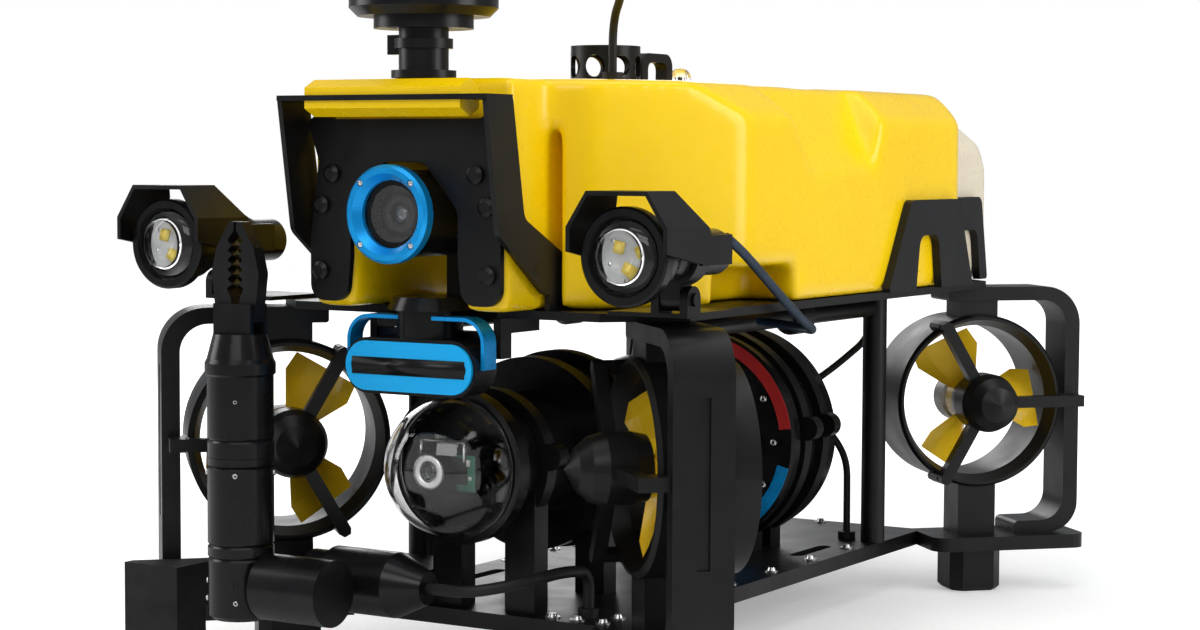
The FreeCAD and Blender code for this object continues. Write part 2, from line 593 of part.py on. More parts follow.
def make_float_block():
    """Moulded float: tapered nose, sculpted cheeks with two scoops a side, tunnels and notches."""
    body = doc.addObject("PartDesign::Body", "FloatBody")
    sketch = add_sketch(body, "FloatOutline", "XY_Plane", "Size.float_under")
    port = [("Size.float_front_half", "-Size.float_front"), ("Size.float_front_half", "-Size.nose_side"),
            ("Size.nose_half", "-Size.nose_corner"),
            ("Size.float_half", "-Size.cheek_corner"), ("Size.float_half", "Size.float_rear")]
    starboard = [("-" + across, along) for across, along in reversed(port)]
    draw_outline(sketch, port + starboard)
    pad(body, "FloatPad", sketch, "Size.float_top - Size.float_under")

    def at_side_corner(edge):
        return is_upright(edge) and abs(edge.Vertexes[0].X) > size.nose_half - 1

    def at_nose_root(edge):
        return is_upright(edge) and abs(edge.Vertexes[0].Y + size.nose_side) < 0.1

    corners = filleted("FloatCorners", body, at_side_corner, 3 * size.edge_round)
    rounded = filleted("FloatRounded", corners, at_nose_root, size.edge_round)
    beyond = 40.0
    tools = []
    top = size.float_top + 1
    low = size.bevel_under
    slope = size.top_inset / (size.float_top - low)
    bevel = Part.Face(Part.makePolygon([
        Vector(size.float_half, 0, low), Vector(size.float_half - slope * (top - low), 0, top),
        Vector(size.float_half + beyond, 0, top), Vector(size.float_half + beyond, 0, low),
        Vector(size.float_half, 0, low)]))
    bevel.translate(Vector(0, -size.float_front, 0))
    bevel = bevel.extrude(Vector(0, 2 * size.float_front, 0))
    tools.append(coded("BevelPort", bevel))
    tools.append(coded("BevelStarboard", bevel.mirror(Vector(), Vector(1, 0, 0))))
    for label, low_y, low_end, top_y, top_end in (
            ("Front", -size.float_front, -size.pocket_front_end, -size.float_front, -size.pocket_front_top),
            ("Rear", -size.pocket_rear_start, size.pocket_rear_end, -size.pocket_rear_top,
             size.pocket_rear_top_end)):
        scoop = doc.addObject("Part::Wedge", "Scoop" + label)
        scoop.Ymin, scoop.Ymax = size.shelf_height, top
        scoop.Zmin, scoop.Zmax = -low_end, -low_y
        scoop.Z2min, scoop.Z2max = -top_end, -top_y
        scoop.Xmin, scoop.X2min = size.float_half - 6, size.float_half - size.top_inset - 14
        scoop.Xmax, scoop.X2max = size.float_half + beyond, size.float_half + beyond
        scoop.Placement = Placement(Vector(), TO_FRONT)
        tools.append(scoop)
        tools.append(mirrored("Scoop%sStarboard" % label, scoop))
    rake = Part.Face(Part.makePolygon([
        Vector(0, -size.float_front, size.rake_height), Vector(0, -size.float_front + size.front_rake, top),
        Vector(0, -size.float_front - beyond, top), Vector(0, -size.float_front - beyond, size.rake_height),
        Vector(0, -size.float_front, size.rake_height)]))
    rake.translate(Vector(-size.float_half, 0, 0))
    tools.append(coded("FrontRake", rake.extrude(Vector(2 * size.float_half, 0, 0))))
    tools.append(box("CameraTunnelBox", "2 * Size.tunnel_half", "Size.camera_tunnel_end",
                     "Size.tunnel_crown - Size.tunnel_half - Size.float_under + 1", "-Size.tunnel_half",
                     "-Size.float_front - 1", "Size.float_under - 1"))
    tools.append(cylinder("CameraTunnelCrown", "Size.tunnel_half", "Size.camera_tunnel_end", "0",
                          "-Size.float_front - 1", "Size.tunnel_crown - Size.tunnel_half", TO_REAR))
    for side in ("", "-"):
        tag = "P" if side == "" else "S"
        tools.append(cylinder("LiftTunnel" + tag, "Size.tunnel_radius", "Size.float_top - Size.float_under + 2",
                              side + "Size.tunnel_out", "-Size.tunnel_along", "Size.float_under - 1"))
        tools.append(box("StrapSlot" + tag, "Size.strap_thick + 2 * Size.slot_clear",
                         "Size.strap_slot_long", "Size.strap_slot_top - Size.float_under + 1",
                         ("Size.strap_half - Size.strap_thick" if side == "" else "-Size.strap_half")
                         + " - Size.slot_clear",
                         "-Size.float_front - 1", "Size.float_under - 1"))
        out = "Size.float_half - Size.notch_deep" if side == "" else "-Size.float_half - Size.notch_deep"
        tools.append(box("SideNotch" + tag, "2 * Size.notch_deep", "Size.notch_start - Size.notch_end",
                         "Size.notch_height + 1", out, "-Size.notch_start", "Size.float_under - 1"))
    shaped = cut("FloatBlock", rounded, tools)
    return keep(shaped, "float_block")


def make_stern_float():
    """Stern block: a bevelled box behind the main float."""
    low, high = size.stern_under, size.stern_top
    bevel = size.stern_bevel
    half = size.stern_half
    profile = rounded_face([(-half, low, 8), (half, low, 8), (half, high - bevel, 12), (half - bevel, high, 12),
                            (-half + bevel, high, 12), (-half, high - bevel, 12)])
    block = profile.extrude(Vector(0, 0, size.stern_length))
    block.rotate(Vector(), Vector(1, 0, 0), 90)
    block.translate(Vector(0, size.float_rear + size.seat_gap + size.stern_length, 0))
    rear = size.float_rear + size.seat_gap + size.stern_length
    slant = Part.Face(Part.makePolygon([
        Vector(-half - 1, rear - bevel, high + 1), Vector(-half - 1, rear + 1, high + 1),
        Vector(-half - 1, rear + 1, high - 1.6 * bevel), Vector(-half - 1, rear - bevel, high + 1)]))
    block = block.cut(slant.extrude(Vector(2 * half + 2, 0, 0)))
    return keep(coded("SternFloat", block), "stern_float")


def clip_shape(length, arch_centre):
    """One float clip in its own plane: a trapezoid with an arched cut-out, ready to stand on a wall."""
    tall = size.clip_height
    slope = size.clip_slope * length / size.clip_length
    plate = rounded_face([(0, 0, 4), (length, 0, 4), (length - slope * 0.7, tall, 12), (slope, tall, 12)])
    half = size.clip_arch
    arch = rounded_face([(arch_centre - half, -1, 0), (arch_centre + half, -1, 0),
                         (arch_centre + half * 0.7, size.clip_arch_height, 14),
                         (arch_centre - half * 0.7, size.clip_arch_height, 14)])
    return plate.cut(arch).extrude(Vector(0, 0, size.clip_thick))


def make_clips():
    """Clips that hook the float blocks down to the top frame, four on the side walls."""
    clips = []
    for name, wall, start, length, centre in (
            ("Main", size.float_half, size.clip_start, size.clip_length, size.clip_arch_centre - size.clip_start),
            ("Stern", size.stern_half, size.stern_clip_start, size.stern_clip_length, size.stern_clip_length / 2)):
        solid = clip_shape(length, centre)
        solid.rotate(Vector(), Vector(1, 0, 0), 90)
        solid.rotate(Vector(), Vector(0, 0, 1), 90)
        solid.translate(Vector(wall + size.seat_gap, start, size.frame_under + size.frame_thick))
        clips.append(coded("Clip%sPort" % name, solid))
        clips.append(coded("Clip%sStarboard" % name, solid.mirror(Vector(), Vector(1, 0, 0))))
    return keep(group("FloatClips", clips), "float_clips")


# ---------------------------------------------------------------- front plate and bumper

def make_camera_plate():
    """Folded front plate: two lobed legs, an arch over the camera and a top that leans back."""
    half, foot = size.camera_plate_half, size.camera_plate_foot
    crease, crown = size.rake_height, size.camera_plate_top
    lower = rounded_face([
        (-half, foot, 16), (-half + size.camera_plate_leg, foot, 16), (-size.tunnel_half, foot + 40, 20),
        (-size.tunnel_half, crease - 46, 20), (-22, crease - 1, 20), (22, crease - 1, 20),
        (size.tunnel_half, crease - 46, 20), (size.tunnel_half, foot + 40, 20),
        (half - size.camera_plate_leg, foot, 16), (half, foot, 16), (half, foot + 60, 20),
        (half - 10, crease, 0), (-half + 10, crease, 0), (-half, foot + 60, 20)])
    lower = lower.extrude(Vector(0, 0, size.camera_plate_thick))
    lower.rotate(Vector(), Vector(1, 0, 0), 90)
    rise = crown - crease
    back = size.front_rake * rise / (size.float_top + 1 - crease)
    lean = math.degrees(math.atan2(back, rise))
    slant = math.hypot(rise, back)
    top_half = size.camera_plate_top_half
    upper = rounded_face([(-half + 10, -2, 0), (half - 10, -2, 0), (half + 6, slant * 0.75, 8),
                          (top_half + 14, slant, 6), (top_half, slant * 0.8, 6), (-top_half, slant * 0.8, 6),
                          (-top_half - 14, slant, 6), (-half - 6, slant * 0.75, 8)])
    upper = upper.extrude(Vector(0, 0, size.camera_plate_thick))
    upper.rotate(Vector(), Vector(1, 0, 0), 90 - lean)
    upper.translate(Vector(0, 0, crease))
    whole = lower.fuse(upper).removeSplitter()
    whole.translate(Vector(0, -size.float_front - size.seat_gap, 0))
    return coded("CameraPlate", whole)


def round_bolt():
    """Plastic bolt head standing on its washer face, along +Z."""
    head = Part.makeCylinder(size.bolt_head, size.bolt_head_tall * 0.6)
    crown = Part.makeCone(size.bolt_head, size.bolt_head * 0.6, size.bolt_head_tall * 0.4,
                          Vector(0, 0, size.bolt_head_tall * 0.6))
    return head.fuse(crown)


def make_plate_bolts():
    """Round-headed plastic bolts of the front plate, and those under the float clips."""
    bolts = []
    face = -size.float_front - size.seat_gap - size.camera_plate_thick
    for number, (across, height) in enumerate((
            (-size.camera_plate_half + 13, size.camera_plate_foot + 28),
            (size.camera_plate_half - 13, size.camera_plate_foot + 28),
            (-size.camera_plate_half + 14, size.rake_height - 42), (size.camera_plate_half - 14, size.rake_height - 42),
            (-size.camera_plate_half + 26, size.rake_height - 13), (size.camera_plate_half - 26, size.rake_height - 13))):
        bolts.append(coded("PlateBolt%d" % number, round_bolt(),
                           Placement(Vector(across, face, height), TO_FRONT)))
    return keep(group("PlateBolts", bolts), "plate_bolts")


def hexagon(tall, deep, low, high):
    """Part of a hexagonal section in YZ between two heights, middle at the origin."""
    flat = tall * 0.28
    whole = Part.Face(Part.makePolygon([
        Vector(0, -deep / 2, -flat), Vector(0, -deep / 2, flat), Vector(0, 0, tall / 2), Vector(0, deep / 2, flat),
        Vector(0, deep / 2, -flat), Vector(0, 0, -tall / 2), Vector(0, -deep / 2, -flat)]))
    slab = Part.makeBox(1, deep, high - low, Vector(-0.5, -deep / 2, low))
    return whole.common(slab)


def make_bumper():
    """Hexagonal bumper in two halves that grip the strap's cross-piece between them."""
    gap = size.strap_thick / 2
    halves = []
    for name, low, high in (("Upper", gap, size.bumper_tall / 2), ("Lower", -size.bumper_tall / 2, -gap)):
        solid = hexagon(size.bumper_tall, size.bumper_deep, low, high).extrude(Vector(2 * size.bumper_half, 0, 0))
        solid.translate(Vector(-size.bumper_half, -size.bumper_out + size.bumper_deep / 2 + 3, size.bumper_height))
        halves.append(coded("Bumper" + name, solid))
    return keep(group("BumperBar", halves), "bumper_bar")


def make_strap():
    """Folded strap: a flat cross-piece through the bumper and two legs that run down and back."""
    half, thick, width = size.strap_half, size.strap_thick, size.strap_width
    top = size.bumper_height + thick / 2
    cross = Part.makeBox(2 * half, width, thick, Vector(-half, -size.bumper_out, size.bumper_height - thick / 2))
    front = -size.bumper_out
    knee = front + size.strap_knee_back
    foot = front + size.strap_foot_back
    outline = rounded_face([
        (front, top, 6), (front + width, top, 6), (knee + width, size.strap_knee_height + 10, 14),
        (foot + width * 0.9, size.strap_foot_height + 22, 10), (foot + width * 0.7, size.strap_foot_height - 8, 10),
        (foot - 8, size.strap_foot_height - 8, 14), (knee, size.strap_knee_height - 4, 14)])
    leg = outline.extrude(Vector(0, 0, thick))
    leg.rotate(Vector(), Vector(1, 0, 0), 90)
    leg.rotate(Vector(), Vector(0, 0, 1), 90)
    leg.translate(Vector(half - thick, 0, 0))
    foot_low = size.frame_under + size.frame_thick
    tab = Part.makeBox(thick, width * 0.8, size.strap_foot_height - foot_low + 8,
                       Vector(half - thick, foot, foot_low))
    strap = cross.fuse([leg, leg.mirror(Vector(), Vector(1, 0, 0)), tab, tab.mirror(Vector(), Vector(1, 0, 0))])
    return keep(coded("BumperStrap", strap.removeSplitter()), "bumper_strap")


# ---------------------------------------------------------------- main camera

def make_main_camera(front_plate):
    """Blue bezel on a black barrel that runs back into the float's tunnel, behind a flat window."""
    face = "-Size.camera_face"
    bezel = revolved("BezelBody", [
        ("Size.bezel_cone", "0"), ("Size.bezel_radius - 3", "0"), ("Size.bezel_radius", "0 - 3"),
        ("Size.bezel_radius", "-Size.bezel_thick"), ("Size.bezel_bore", "-Size.bezel_thick"),
        ("Size.bezel_bore", "-Size.bezel_thick + 4")])
    holes = add_sketch(bezel, "BezelBoltSeat", "XY_Plane")
    draw_circle(holes, "Size.bezel_bolt_ring * 0.7071", "Size.bezel_bolt_ring * 0.7071", "Size.bezel_bolt")
    seat = pocket(bezel, "BezelBoltPocket", holes, "Size.bezel_thick / 3")
    ring = bezel.newObject("PartDesign::PolarPattern", "BezelBoltRing")
    ring.Originals = [seat]
    ring.Axis = (holes, ["N_Axis"])
    ring.Angle = 360
    ring.Occurrences = 4
    bezel.Tip = ring
    place(bezel, "0", face, "Size.camera_height", TO_FRONT)
    keep(bezel, "main_camera_bezel")
    back = "-Size.bezel_thick - Size.barrel_length"
    barrel = revolved("BarrelBody", [
        ("Size.bezel_bore - 1", "-Size.bezel_thick"), ("Size.barrel_radius", "-Size.bezel_thick"),
        ("Size.barrel_radius", back), ("0", back), ("0", "-Size.bezel_thick - Size.lens_depth - 6"),
        ("Size.lens_radius + 5", "-Size.bezel_thick - Size.lens_depth - 6"),
        ("Size.lens_radius + 5", "-Size.bezel_thick - Size.lens_depth"),
        ("Size.lens_radius + 9", "-Size.bezel_thick - Size.lens_depth"),
        ("Size.lens_radius + 9", "-Size.bezel_thick - Size.lens_depth / 2"),
        ("Size.bezel_bore - 5", "-Size.bezel_thick - Size.lens_depth / 2"),
        ("Size.bezel_bore - 5", "-Size.bezel_thick - 4"), ("Size.bezel_bore - 1", "-Size.bezel_thick - 4")])
    place(barrel, "0", face, "Size.camera_height", TO_FRONT)
    keep(barrel, "main_camera_barrel")
    window = revolved("WindowBody", [
        ("0", "-Size.bezel_thick"), ("Size.bezel_bore - 0.3 - 1", "-Size.bezel_thick"),
        ("Size.bezel_bore - 0.3 - 1", "-Size.bezel_thick - Size.window_thick"),
        ("0", "-Size.bezel_thick - Size.window_thick")])
    place(window, "0", face, "Size.camera_height", TO_FRONT)
    keep(window, "main_camera_window")
    saddle = fused("BarrelSaddle", [
        box("SaddleFoot", "2 * Size.saddle_half", "Size.saddle_long", "Size.saddle_thick", "-Size.saddle_half",
            "-Size.saddle_front", "Size.frame_under + Size.frame_thick"),
        box("SaddleWeb", "Size.barrel_radius * 1.2", "Size.saddle_web",
            "Size.camera_height - Size.frame_under - Size.frame_thick - Size.barrel_radius * 0.7",
            "-Size.barrel_radius * 0.6", "-Size.saddle_front + Size.saddle_thick",
            "Size.frame_under + Size.frame_thick")])
    bore = cylinder("SaddleBore", "Size.barrel_radius + Size.seat_gap", "Size.nose_corner",
                    "0", "-Size.float_front", "Size.camera_height", TO_REAR)
    keep(group("CameraMount", [front_plate, cut("CameraSaddle", saddle, [bore])]), "camera_plate")


# ---------------------------------------------------------------- lights

def make_light(side, tag):
    """One flood light with its hood, in its own tilt frame; the lamp looks along -Y."""
    middle_x = "%s * Size.light_out" % side
    face = "-Size.light_face"
    body = revolved("LightBody" + tag, [
        ("Size.light_bowl", "0"), ("Size.light_ring - 2", "0"), ("Size.light_ring", "0 - 2"),
        ("Size.light_ring", "-Size.light_ring_long"), ("Size.light_body + 3", "-Size.light_ring_long - 3"),
        ("Size.light_body", "-Size.light_ring_long - 24"), ("Size.light_neck", "-Size.light_ring_long - 48"),
        ("Size.light_neck", "-Size.light_length + 42"), ("Size.light_tail", "-Size.light_length + 42"),
        ("Size.light_tail", "-Size.light_length"), ("0", "-Size.light_length"),
        ("0", "-Size.light_bowl_deep"), ("Size.emitter_radius + 3", "-Size.light_bowl_deep"),
        ("Size.emitter_radius + 6", "-Size.light_bowl_deep / 2"), ("Size.light_bowl - 4", "-Size.light_bowl_deep / 2")])
    place(body, middle_x, face, "Size.light_height", TO_FRONT)
    keep(body, tag + "_light_body")
    board = cylinder("Emitter" + tag, "Size.emitter_radius", "Size.emitter_thick", middle_x,
                     "-Size.light_face + Size.light_bowl_deep", "Size.light_height", TO_FRONT)
    keep(board, tag + "_light_emitter")
    half, flat, rise, sheet_t = size.hood_half, size.hood_flat, size.hood_rise, size.hood_sheet
    drop = -6.0
    outer = [(-half, drop), (-half, rise * 0.45), (-flat, rise), (flat, rise), (half, rise * 0.45), (half, drop)]
    inner = [(half - sheet_t, drop), (half - sheet_t, rise * 0.45 - 1.5), (flat - 1.5, rise - sheet_t),
             (-flat + 1.5, rise - sheet_t), (-half + sheet_t, rise * 0.45 - 1.5), (-half + sheet_t, drop)]
    profile = Part.Face(Part.makePolygon([Vector(x, 0, z) for x, z in outer + inner + outer[:1]]))
    hood = profile.extrude(Vector(0, size.hood_long, 0))
    slope = Part.Face(Part.makePolygon([
        Vector(-half - 1, size.hood_long * 0.62, rise + 1), Vector(-half - 1, size.hood_long + 1, rise + 1),
        Vector(-half - 1, size.hood_long + 1, drop + 26), Vector(-half - 1, size.hood_long * 0.62, rise + 1)]))
    hood = hood.cut(slope.extrude(Vector(2 * half + 2, 0, 0)))
    under = Part.Face(Part.makePolygon([
        Vector(-half - 1, -1, drop - 1), Vector(-half - 1, -1, drop + 10), Vector(-half - 1, size.hood_long * 0.8, drop - 1),
        Vector(-half - 1, -1, drop - 1)]))
    hood = hood.cut(under.extrude(Vector(2 * half + 2, 0, 0)))
    front = -size.light_face - size.hood_lead
    hood.translate(Vector(side * size.light_out, front, size.light_height))
    pivot_y = -size.light_face + size.light_pivot_back
    pivot_z = size.light_height - size.light_pivot_drop
    band = Part.makeCylinder(size.light_neck + 5, 22, Vector(side * size.light_out, pivot_y - 11, size.light_height),
                             Vector(0, 1, 0))
    band = band.cut(Part.makeCylinder(size.light_neck + size.seat_gap, 24,
                                      Vector(side * size.light_out, pivot_y - 12, size.light_height), Vector(0, 1, 0)))
    arm_end = front + size.hood_long - 14
    for wing in (-1, 1):
        inner_x = side * size.light_out + wing * (half - sheet_t)
        arm = Part.makeBox(sheet_t, pivot_y + 11 - arm_end, 26,
                           Vector(min(inner_x, inner_x + wing * sheet_t), arm_end, size.light_height - 8))
        web = Part.makeBox(half - size.light_neck - 2, sheet_t, 26,
                           Vector(side * size.light_out + (size.light_neck + 2 if wing > 0 else -half),
                                  pivot_y + 7, size.light_height - 8))
        hood = hood.fuse([arm, web])
    lug = Part.makeBox(20, 21, size.light_pivot_drop - size.light_neck,
                       Vector(side * size.light_out - 10, pivot_y - 10.5, pivot_z))
    knuckle = Part.makeCylinder(10.5, 20, Vector(side * size.light_out - 10, pivot_y, pivot_z), Vector(1, 0, 0))
    lug = lug.fuse(knuckle)
    lug = lug.cut(Part.makeCylinder(size.light_neck + 2, 24,
                                    Vector(side * size.light_out, pivot_y - 12, size.light_height), Vector(0, 1, 0)))
    hood = hood.fuse([band, lug])
    bore = Part.makeCylinder(size.pivot_radius + size.running_fit, 24,
                             Vector(side * size.light_out - 12, pivot_y, pivot_z), Vector(1, 0, 0))
    hood = hood.cut(bore).removeSplitter()
    keep(coded("Hood" + tag, hood), tag + "_light_hood")


def light_bracket(side, tag):
    """Bracket from the top frame with two ears and the pivot pin of a light."""
    pivot_y = -size.light_face + size.light_pivot_back
    pivot_z = size.light_height - size.light_pivot_drop
    low = size.frame_under + size.frame_thick
    out = side * size.light_out
    parts = []
    for wing in (-1, 1):
        ear_x = out + wing * (10 + 0.5) + (0 if wing > 0 else -size.bracket_thick)
        ear = Part.makeBox(size.bracket_thick, 24, pivot_z - low, Vector(ear_x, pivot_y - 12, low))
        parts.append(ear)
        parts.append(Part.makeCylinder(12, size.bracket_thick, Vector(ear_x, pivot_y, pivot_z), Vector(1, 0, 0)))
    pin = Part.makeCylinder(size.pivot_radius, 2 * (10.5 + size.bracket_thick) + 6,
                            Vector(out - 10.5 - size.bracket_thick - 3, pivot_y, pivot_z), Vector(1, 0, 0))
    left, right = sorted((side * size.shelf_inner, out + side * (10.5 + size.bracket_thick)))
    shelf = Part.makeBox(right - left, size.shelf_long, 4, Vector(left, pivot_y - 12, low))
    whole = parts[0].fuse(parts[1:] + [pin, shelf]).removeSplitter()
    return coded("LightBracket" + tag, whole)


# ---------------------------------------------------------------- imaging sonar

def make_sonar():
    """Sonar head with a stadium face, its turret and cap, and the hoop bracket it tilts in."""
    half, tall = size.sonar_wide / 2, size.sonar_tall

    def stadium(wide, high, deep, front):
        face = rounded_face([(-wide / 2, -high / 2, high / 2 - 0.02), (wide / 2, -high / 2, high / 2 - 0.02),
                             (wide / 2, high / 2, high / 2 - 0.02), (-wide / 2, high / 2, high / 2 - 0.02)])
        solid = face.extrude(Vector(0, 0, -deep))
        solid.rotate(Vector(), Vector(1, 0, 0), 90)
        solid.translate(Vector(0, front, size.sonar_height))
        return solid

    body = stadium(size.sonar_wide + 6, tall + 6, size.sonar_deep, -size.sonar_face + size.sonar_trim)
    turret_y = -size.sonar_face + size.sonar_trim + size.turret_radius + 2
    low = size.sonar_height
    turret = Part.makeCylinder(size.turret_radius, tall / 2 + 3 + size.turret_rise, Vector(0, turret_y, low))
    cap = Part.makeCone(size.turret_cap, size.turret_cap - 6, size.turret_cap_tall,
                        Vector(0, turret_y, low + tall / 2 + 3 + size.turret_rise))
    pivot_y = -size.sonar_face + size.sonar_pivot_back
    pivot_z = size.sonar_height + size.sonar_pivot_rise
    yoke = Part.makeBox(2 * size.hoop_radius - 2 * size.hoop_thick - 1, 14, 24,
                        Vector(-size.hoop_radius + size.hoop_thick + 0.5, pivot_y - 7, pivot_z - 12))
    pin_hole = Part.makeCylinder(size.pivot_radius + size.running_fit, 4 * size.hoop_radius,
                                 Vector(-2 * size.hoop_radius, pivot_y, pivot_z), Vector(1, 0, 0))
    head = body.fuse([turret, cap, yoke]).cut(pin_hole).removeSplitter()
    keep(coded("SonarBody", head), "sonar_body")
    reach = half + 3 + size.band_thick
    low = size.sonar_height
    high = size.frame_under + size.band_rise
    outer = rounded_face([(-reach, low, 0), (reach, low, 0), (reach, high, 24), (-reach, high, 24)])
    inner = rounded_face([(-reach + size.band_thick, low - 1, 0), (reach - size.band_thick, low - 1, 0),
                          (reach - size.band_thick, high - size.band_thick, 20),
                          (-reach + size.band_thick, high - size.band_thick, 20)])
    band = outer.cut(inner).extrude(Vector(0, 0, -size.band_wide))
    band.rotate(Vector(), Vector(1, 0, 0), 90)
    band.translate(Vector(0, -size.sonar_face + size.sonar_trim + size.band_back, 0))
    room = Part.makeCylinder(size.turret_radius + size.seat_gap, 4 * size.turret_rise, Vector(0, turret_y, low))
    keep(coded("SonarBand", band.cut([body, room])), "sonar_band")
    trim = stadium(size.sonar_wide, tall, size.sonar_trim, -size.sonar_face)
    slot = stadium(size.sonar_wide - 12, size.sonar_window_tall, size.sonar_trim, -size.sonar_face)
    keep(coded("SonarFace", trim.cut(slot)), "sonar_face")
    top = size.frame_under - pivot_z
    pieces = []
    for wing in (-1, 1):
        left = wing * size.hoop_radius if wing < 0 else size.hoop_radius - size.hoop_thick
        cheek = Part.makeBox(size.hoop_thick, size.hoop_width, top + 12,
                             Vector(left, pivot_y - size.hoop_width / 2, pivot_z - 12))
        rail = Part.makeBox(size.hoop_thick, size.hoop_reach, 14,
                            Vector(left, pivot_y - size.hoop_width / 2, size.frame_under - 14))
        stub = Part.makeCylinder(size.pivot_radius, size.hoop_thick + 12,
                                 Vector(wing * size.hoop_radius + (0 if wing < 0 else -size.hoop_thick - 12),
                                        pivot_y, pivot_z), Vector(1, 0, 0))
        pieces += [cheek, rail, stub]
    bridge_wide = 26
    bridge = Part.makeBox(2 * size.hoop_radius, bridge_wide, 6,
                          Vector(-size.hoop_radius, pivot_y - size.hoop_width / 2 + size.hoop_reach - bridge_wide,
                                 size.frame_under - 6))
    hoop = bridge.fuse(pieces).removeSplitter()
    keep(coded("SonarBracket", hoop), "sonar_bracket")


# ---------------------------------------------------------------- dome camera and pods

def arc_points(radius, start, end, steps):
    """Points of an arc about the origin as (radius from the axis, height) pairs, in degrees."""
    points = []
    for step in range(steps + 1):
        angle = math.radians(start + (end - start) * step / steps)
        points.append((radius * math.cos(angle), radius * math.sin(angle)))
    return points


def turned(points):
    """Solid of revolution about Z from (radius, height) points."""
    loop = [Vector(r, 0, z) for r, z in points]
    return Part.Face(Part.makePolygon(loop + loop[:1])).revolve(Vector(), Vector(0, 0, 1), 360)


def make_dome_camera():
    """Clear dome on a ring housing that widens to a pod, and the tilting camera behind the dome."""
    along, high = "-Size.dome_centre", "Size.dome_height"
    facing = Placement(Vector(0, -size.dome_centre, size.dome_height), TO_FRONT)
    outer = arc_points(size.dome_radius, 0, 90, 8)
    inner = arc_points(size.dome_radius - size.dome_wall, 90, 0, 5)
    keep(coded("CameraDome", turned(outer + inner), facing), "camera_dome")
    neck_back = "-(Size.dome_centre - Size.pod_flange_front)"
    rear = "-(Size.dome_centre - Size.camera_pod_rear)"
    shell = revolved("CameraPodBody", [
        ("Size.dome_radius - 2 * Size.dome_wall", "-0.3"), ("Size.dome_ring", "-0.3"),
        ("Size.dome_ring", "-Size.dome_ring_long"), ("Size.pod_neck", "-Size.dome_ring_long - 6"),
        ("Size.pod_neck", neck_back), ("Size.pod_flange", neck_back),
        ("Size.pod_flange", neck_back + " - Size.pod_flange_long"),
        ("Size.camera_pod_radius", neck_back + " - Size.pod_flange_long - 4"),
        ("Size.camera_pod_radius", rear), ("0", rear), ("0", "-Size.tilt_radius - 12"),
        ("Size.dome_radius - 2 * Size.dome_wall", "-Size.tilt_radius - 12")])
    place(shell, "0", along, high, TO_FRONT)
    yokes = []
    for wing in (-1, 1):
        inner_x = size.tilt_half - size.yoke_thick if wing > 0 else -size.tilt_half
        plate = Part.makeBox(size.yoke_thick, size.tilt_radius + 12 + 8, 18,
                             Vector(inner_x, -size.dome_centre - 8, size.dome_height - 9))
        hole = Part.makeCylinder(size.pivot_radius / 2 + size.running_fit, 2 * size.tilt_half + 4,
                                 Vector(-size.tilt_half - 2, -size.dome_centre, size.dome_height), Vector(1, 0, 0))
        yokes.append(coded("Yoke%d" % (wing + 1), plate.cut(hole)))
    keep(fused("CameraPod", [shell] + yokes), "camera_pod")
    middle = Vector(0, -size.dome_centre, size.dome_height)
    half = size.tilt_half - size.yoke_thick - 0.5
    drum = Part.makeCylinder(size.tilt_radius, 2 * half, middle - Vector(half, 0, 0), Vector(1, 0, 0))
    lens = Part.makeCylinder(size.tilt_lens, size.tilt_radius + 16, middle, Vector(0, -1, 0))
    bore = Part.makeCylinder(size.tilt_lens - 3, 8, middle - Vector(0, size.tilt_radius + 16, 0), Vector(0, 1, 0))
    pin = Part.makeCylinder(size.pivot_radius / 2, 2 * size.tilt_half, middle - Vector(size.tilt_half, 0, 0),
                            Vector(1, 0, 0))
    tilt = drum.fuse([lens, pin]).cut(bore).removeSplitter()
    keep(coded("DomeTiltCamera", tilt), "dome_tilt_camera")


def make_electronics_pod():
    """Pressure pod with two rims, and its recessed end cap with connector ports and screws."""
    back = "-Size.pod_length"
    pod = revolved("PodBody", [
        ("Size.cap_recess", "0"), ("Size.pod_rim - 3", "0"), ("Size.pod_rim", "0 - 3"),
        ("Size.pod_rim", "-Size.pod_rim_long"), ("Size.pod_radius", "-Size.pod_rim_long"),
        ("Size.pod_radius", back + " + Size.pod_rim_long"), ("Size.pod_rim", back + " + Size.pod_rim_long"),
        ("Size.pod_rim", back), ("0", back), ("0", "-Size.cap_recess_deep"),
        ("Size.cap_recess", "-Size.cap_recess_deep")])
    place(pod, "0", "Size.pod_front", "Size.pod_height", TO_FRONT)
    keep(pod, "electronics_pod")
    cap = doc.addObject("PartDesign::Body", "EndCap")
    disc = add_sketch(cap, "CapDisc", "XY_Plane", "-Size.cap_recess_deep")
    draw_circle(disc, "0", "0", "Size.cap_recess - Size.seat_gap")
    pad(cap, "CapPad", disc, "Size.cap_recess_deep")
    port = add_sketch(cap, "PortSketch", "XY_Plane")
    draw_circle(port, "Size.port_ring", "0", "Size.port_radius")
    stem = pad(cap, "PortStem", port, "Size.port_tall")
    ports = cap.newObject("PartDesign::PolarPattern", "Ports")
    ports.Originals = [stem]
    ports.Axis = (port, ["N_Axis"])
    ports.Angle = 360
    ports.Occurrences = 6
    cap.Tip = ports
    screw = add_sketch(cap, "ScrewSketch", "XY_Plane")
    draw_outline(screw, [("Size.screw_ring", "0 - 4.5"), ("Size.screw_ring + 4", "0 - 2.2"),
                         ("Size.screw_ring + 4", "0 + 2.2"), ("Size.screw_ring", "0 + 4.5"),
                         ("Size.screw_ring - 4", "0 + 2.2"), ("Size.screw_ring - 4", "0 - 2.2")])
    head = pad(cap, "ScrewHead", screw, "3")
    screws = cap.newObject("PartDesign::PolarPattern", "Screws")
    screws.Originals = [head]
    screws.Axis = (screw, ["N_Axis"])
    screws.Angle = 360
    screws.Occurrences = 12
    cap.Tip = screws
    place(cap, "0", "Size.pod_front", "Size.pod_height", TO_FRONT)
    keep(cap, "pod_end_cap")


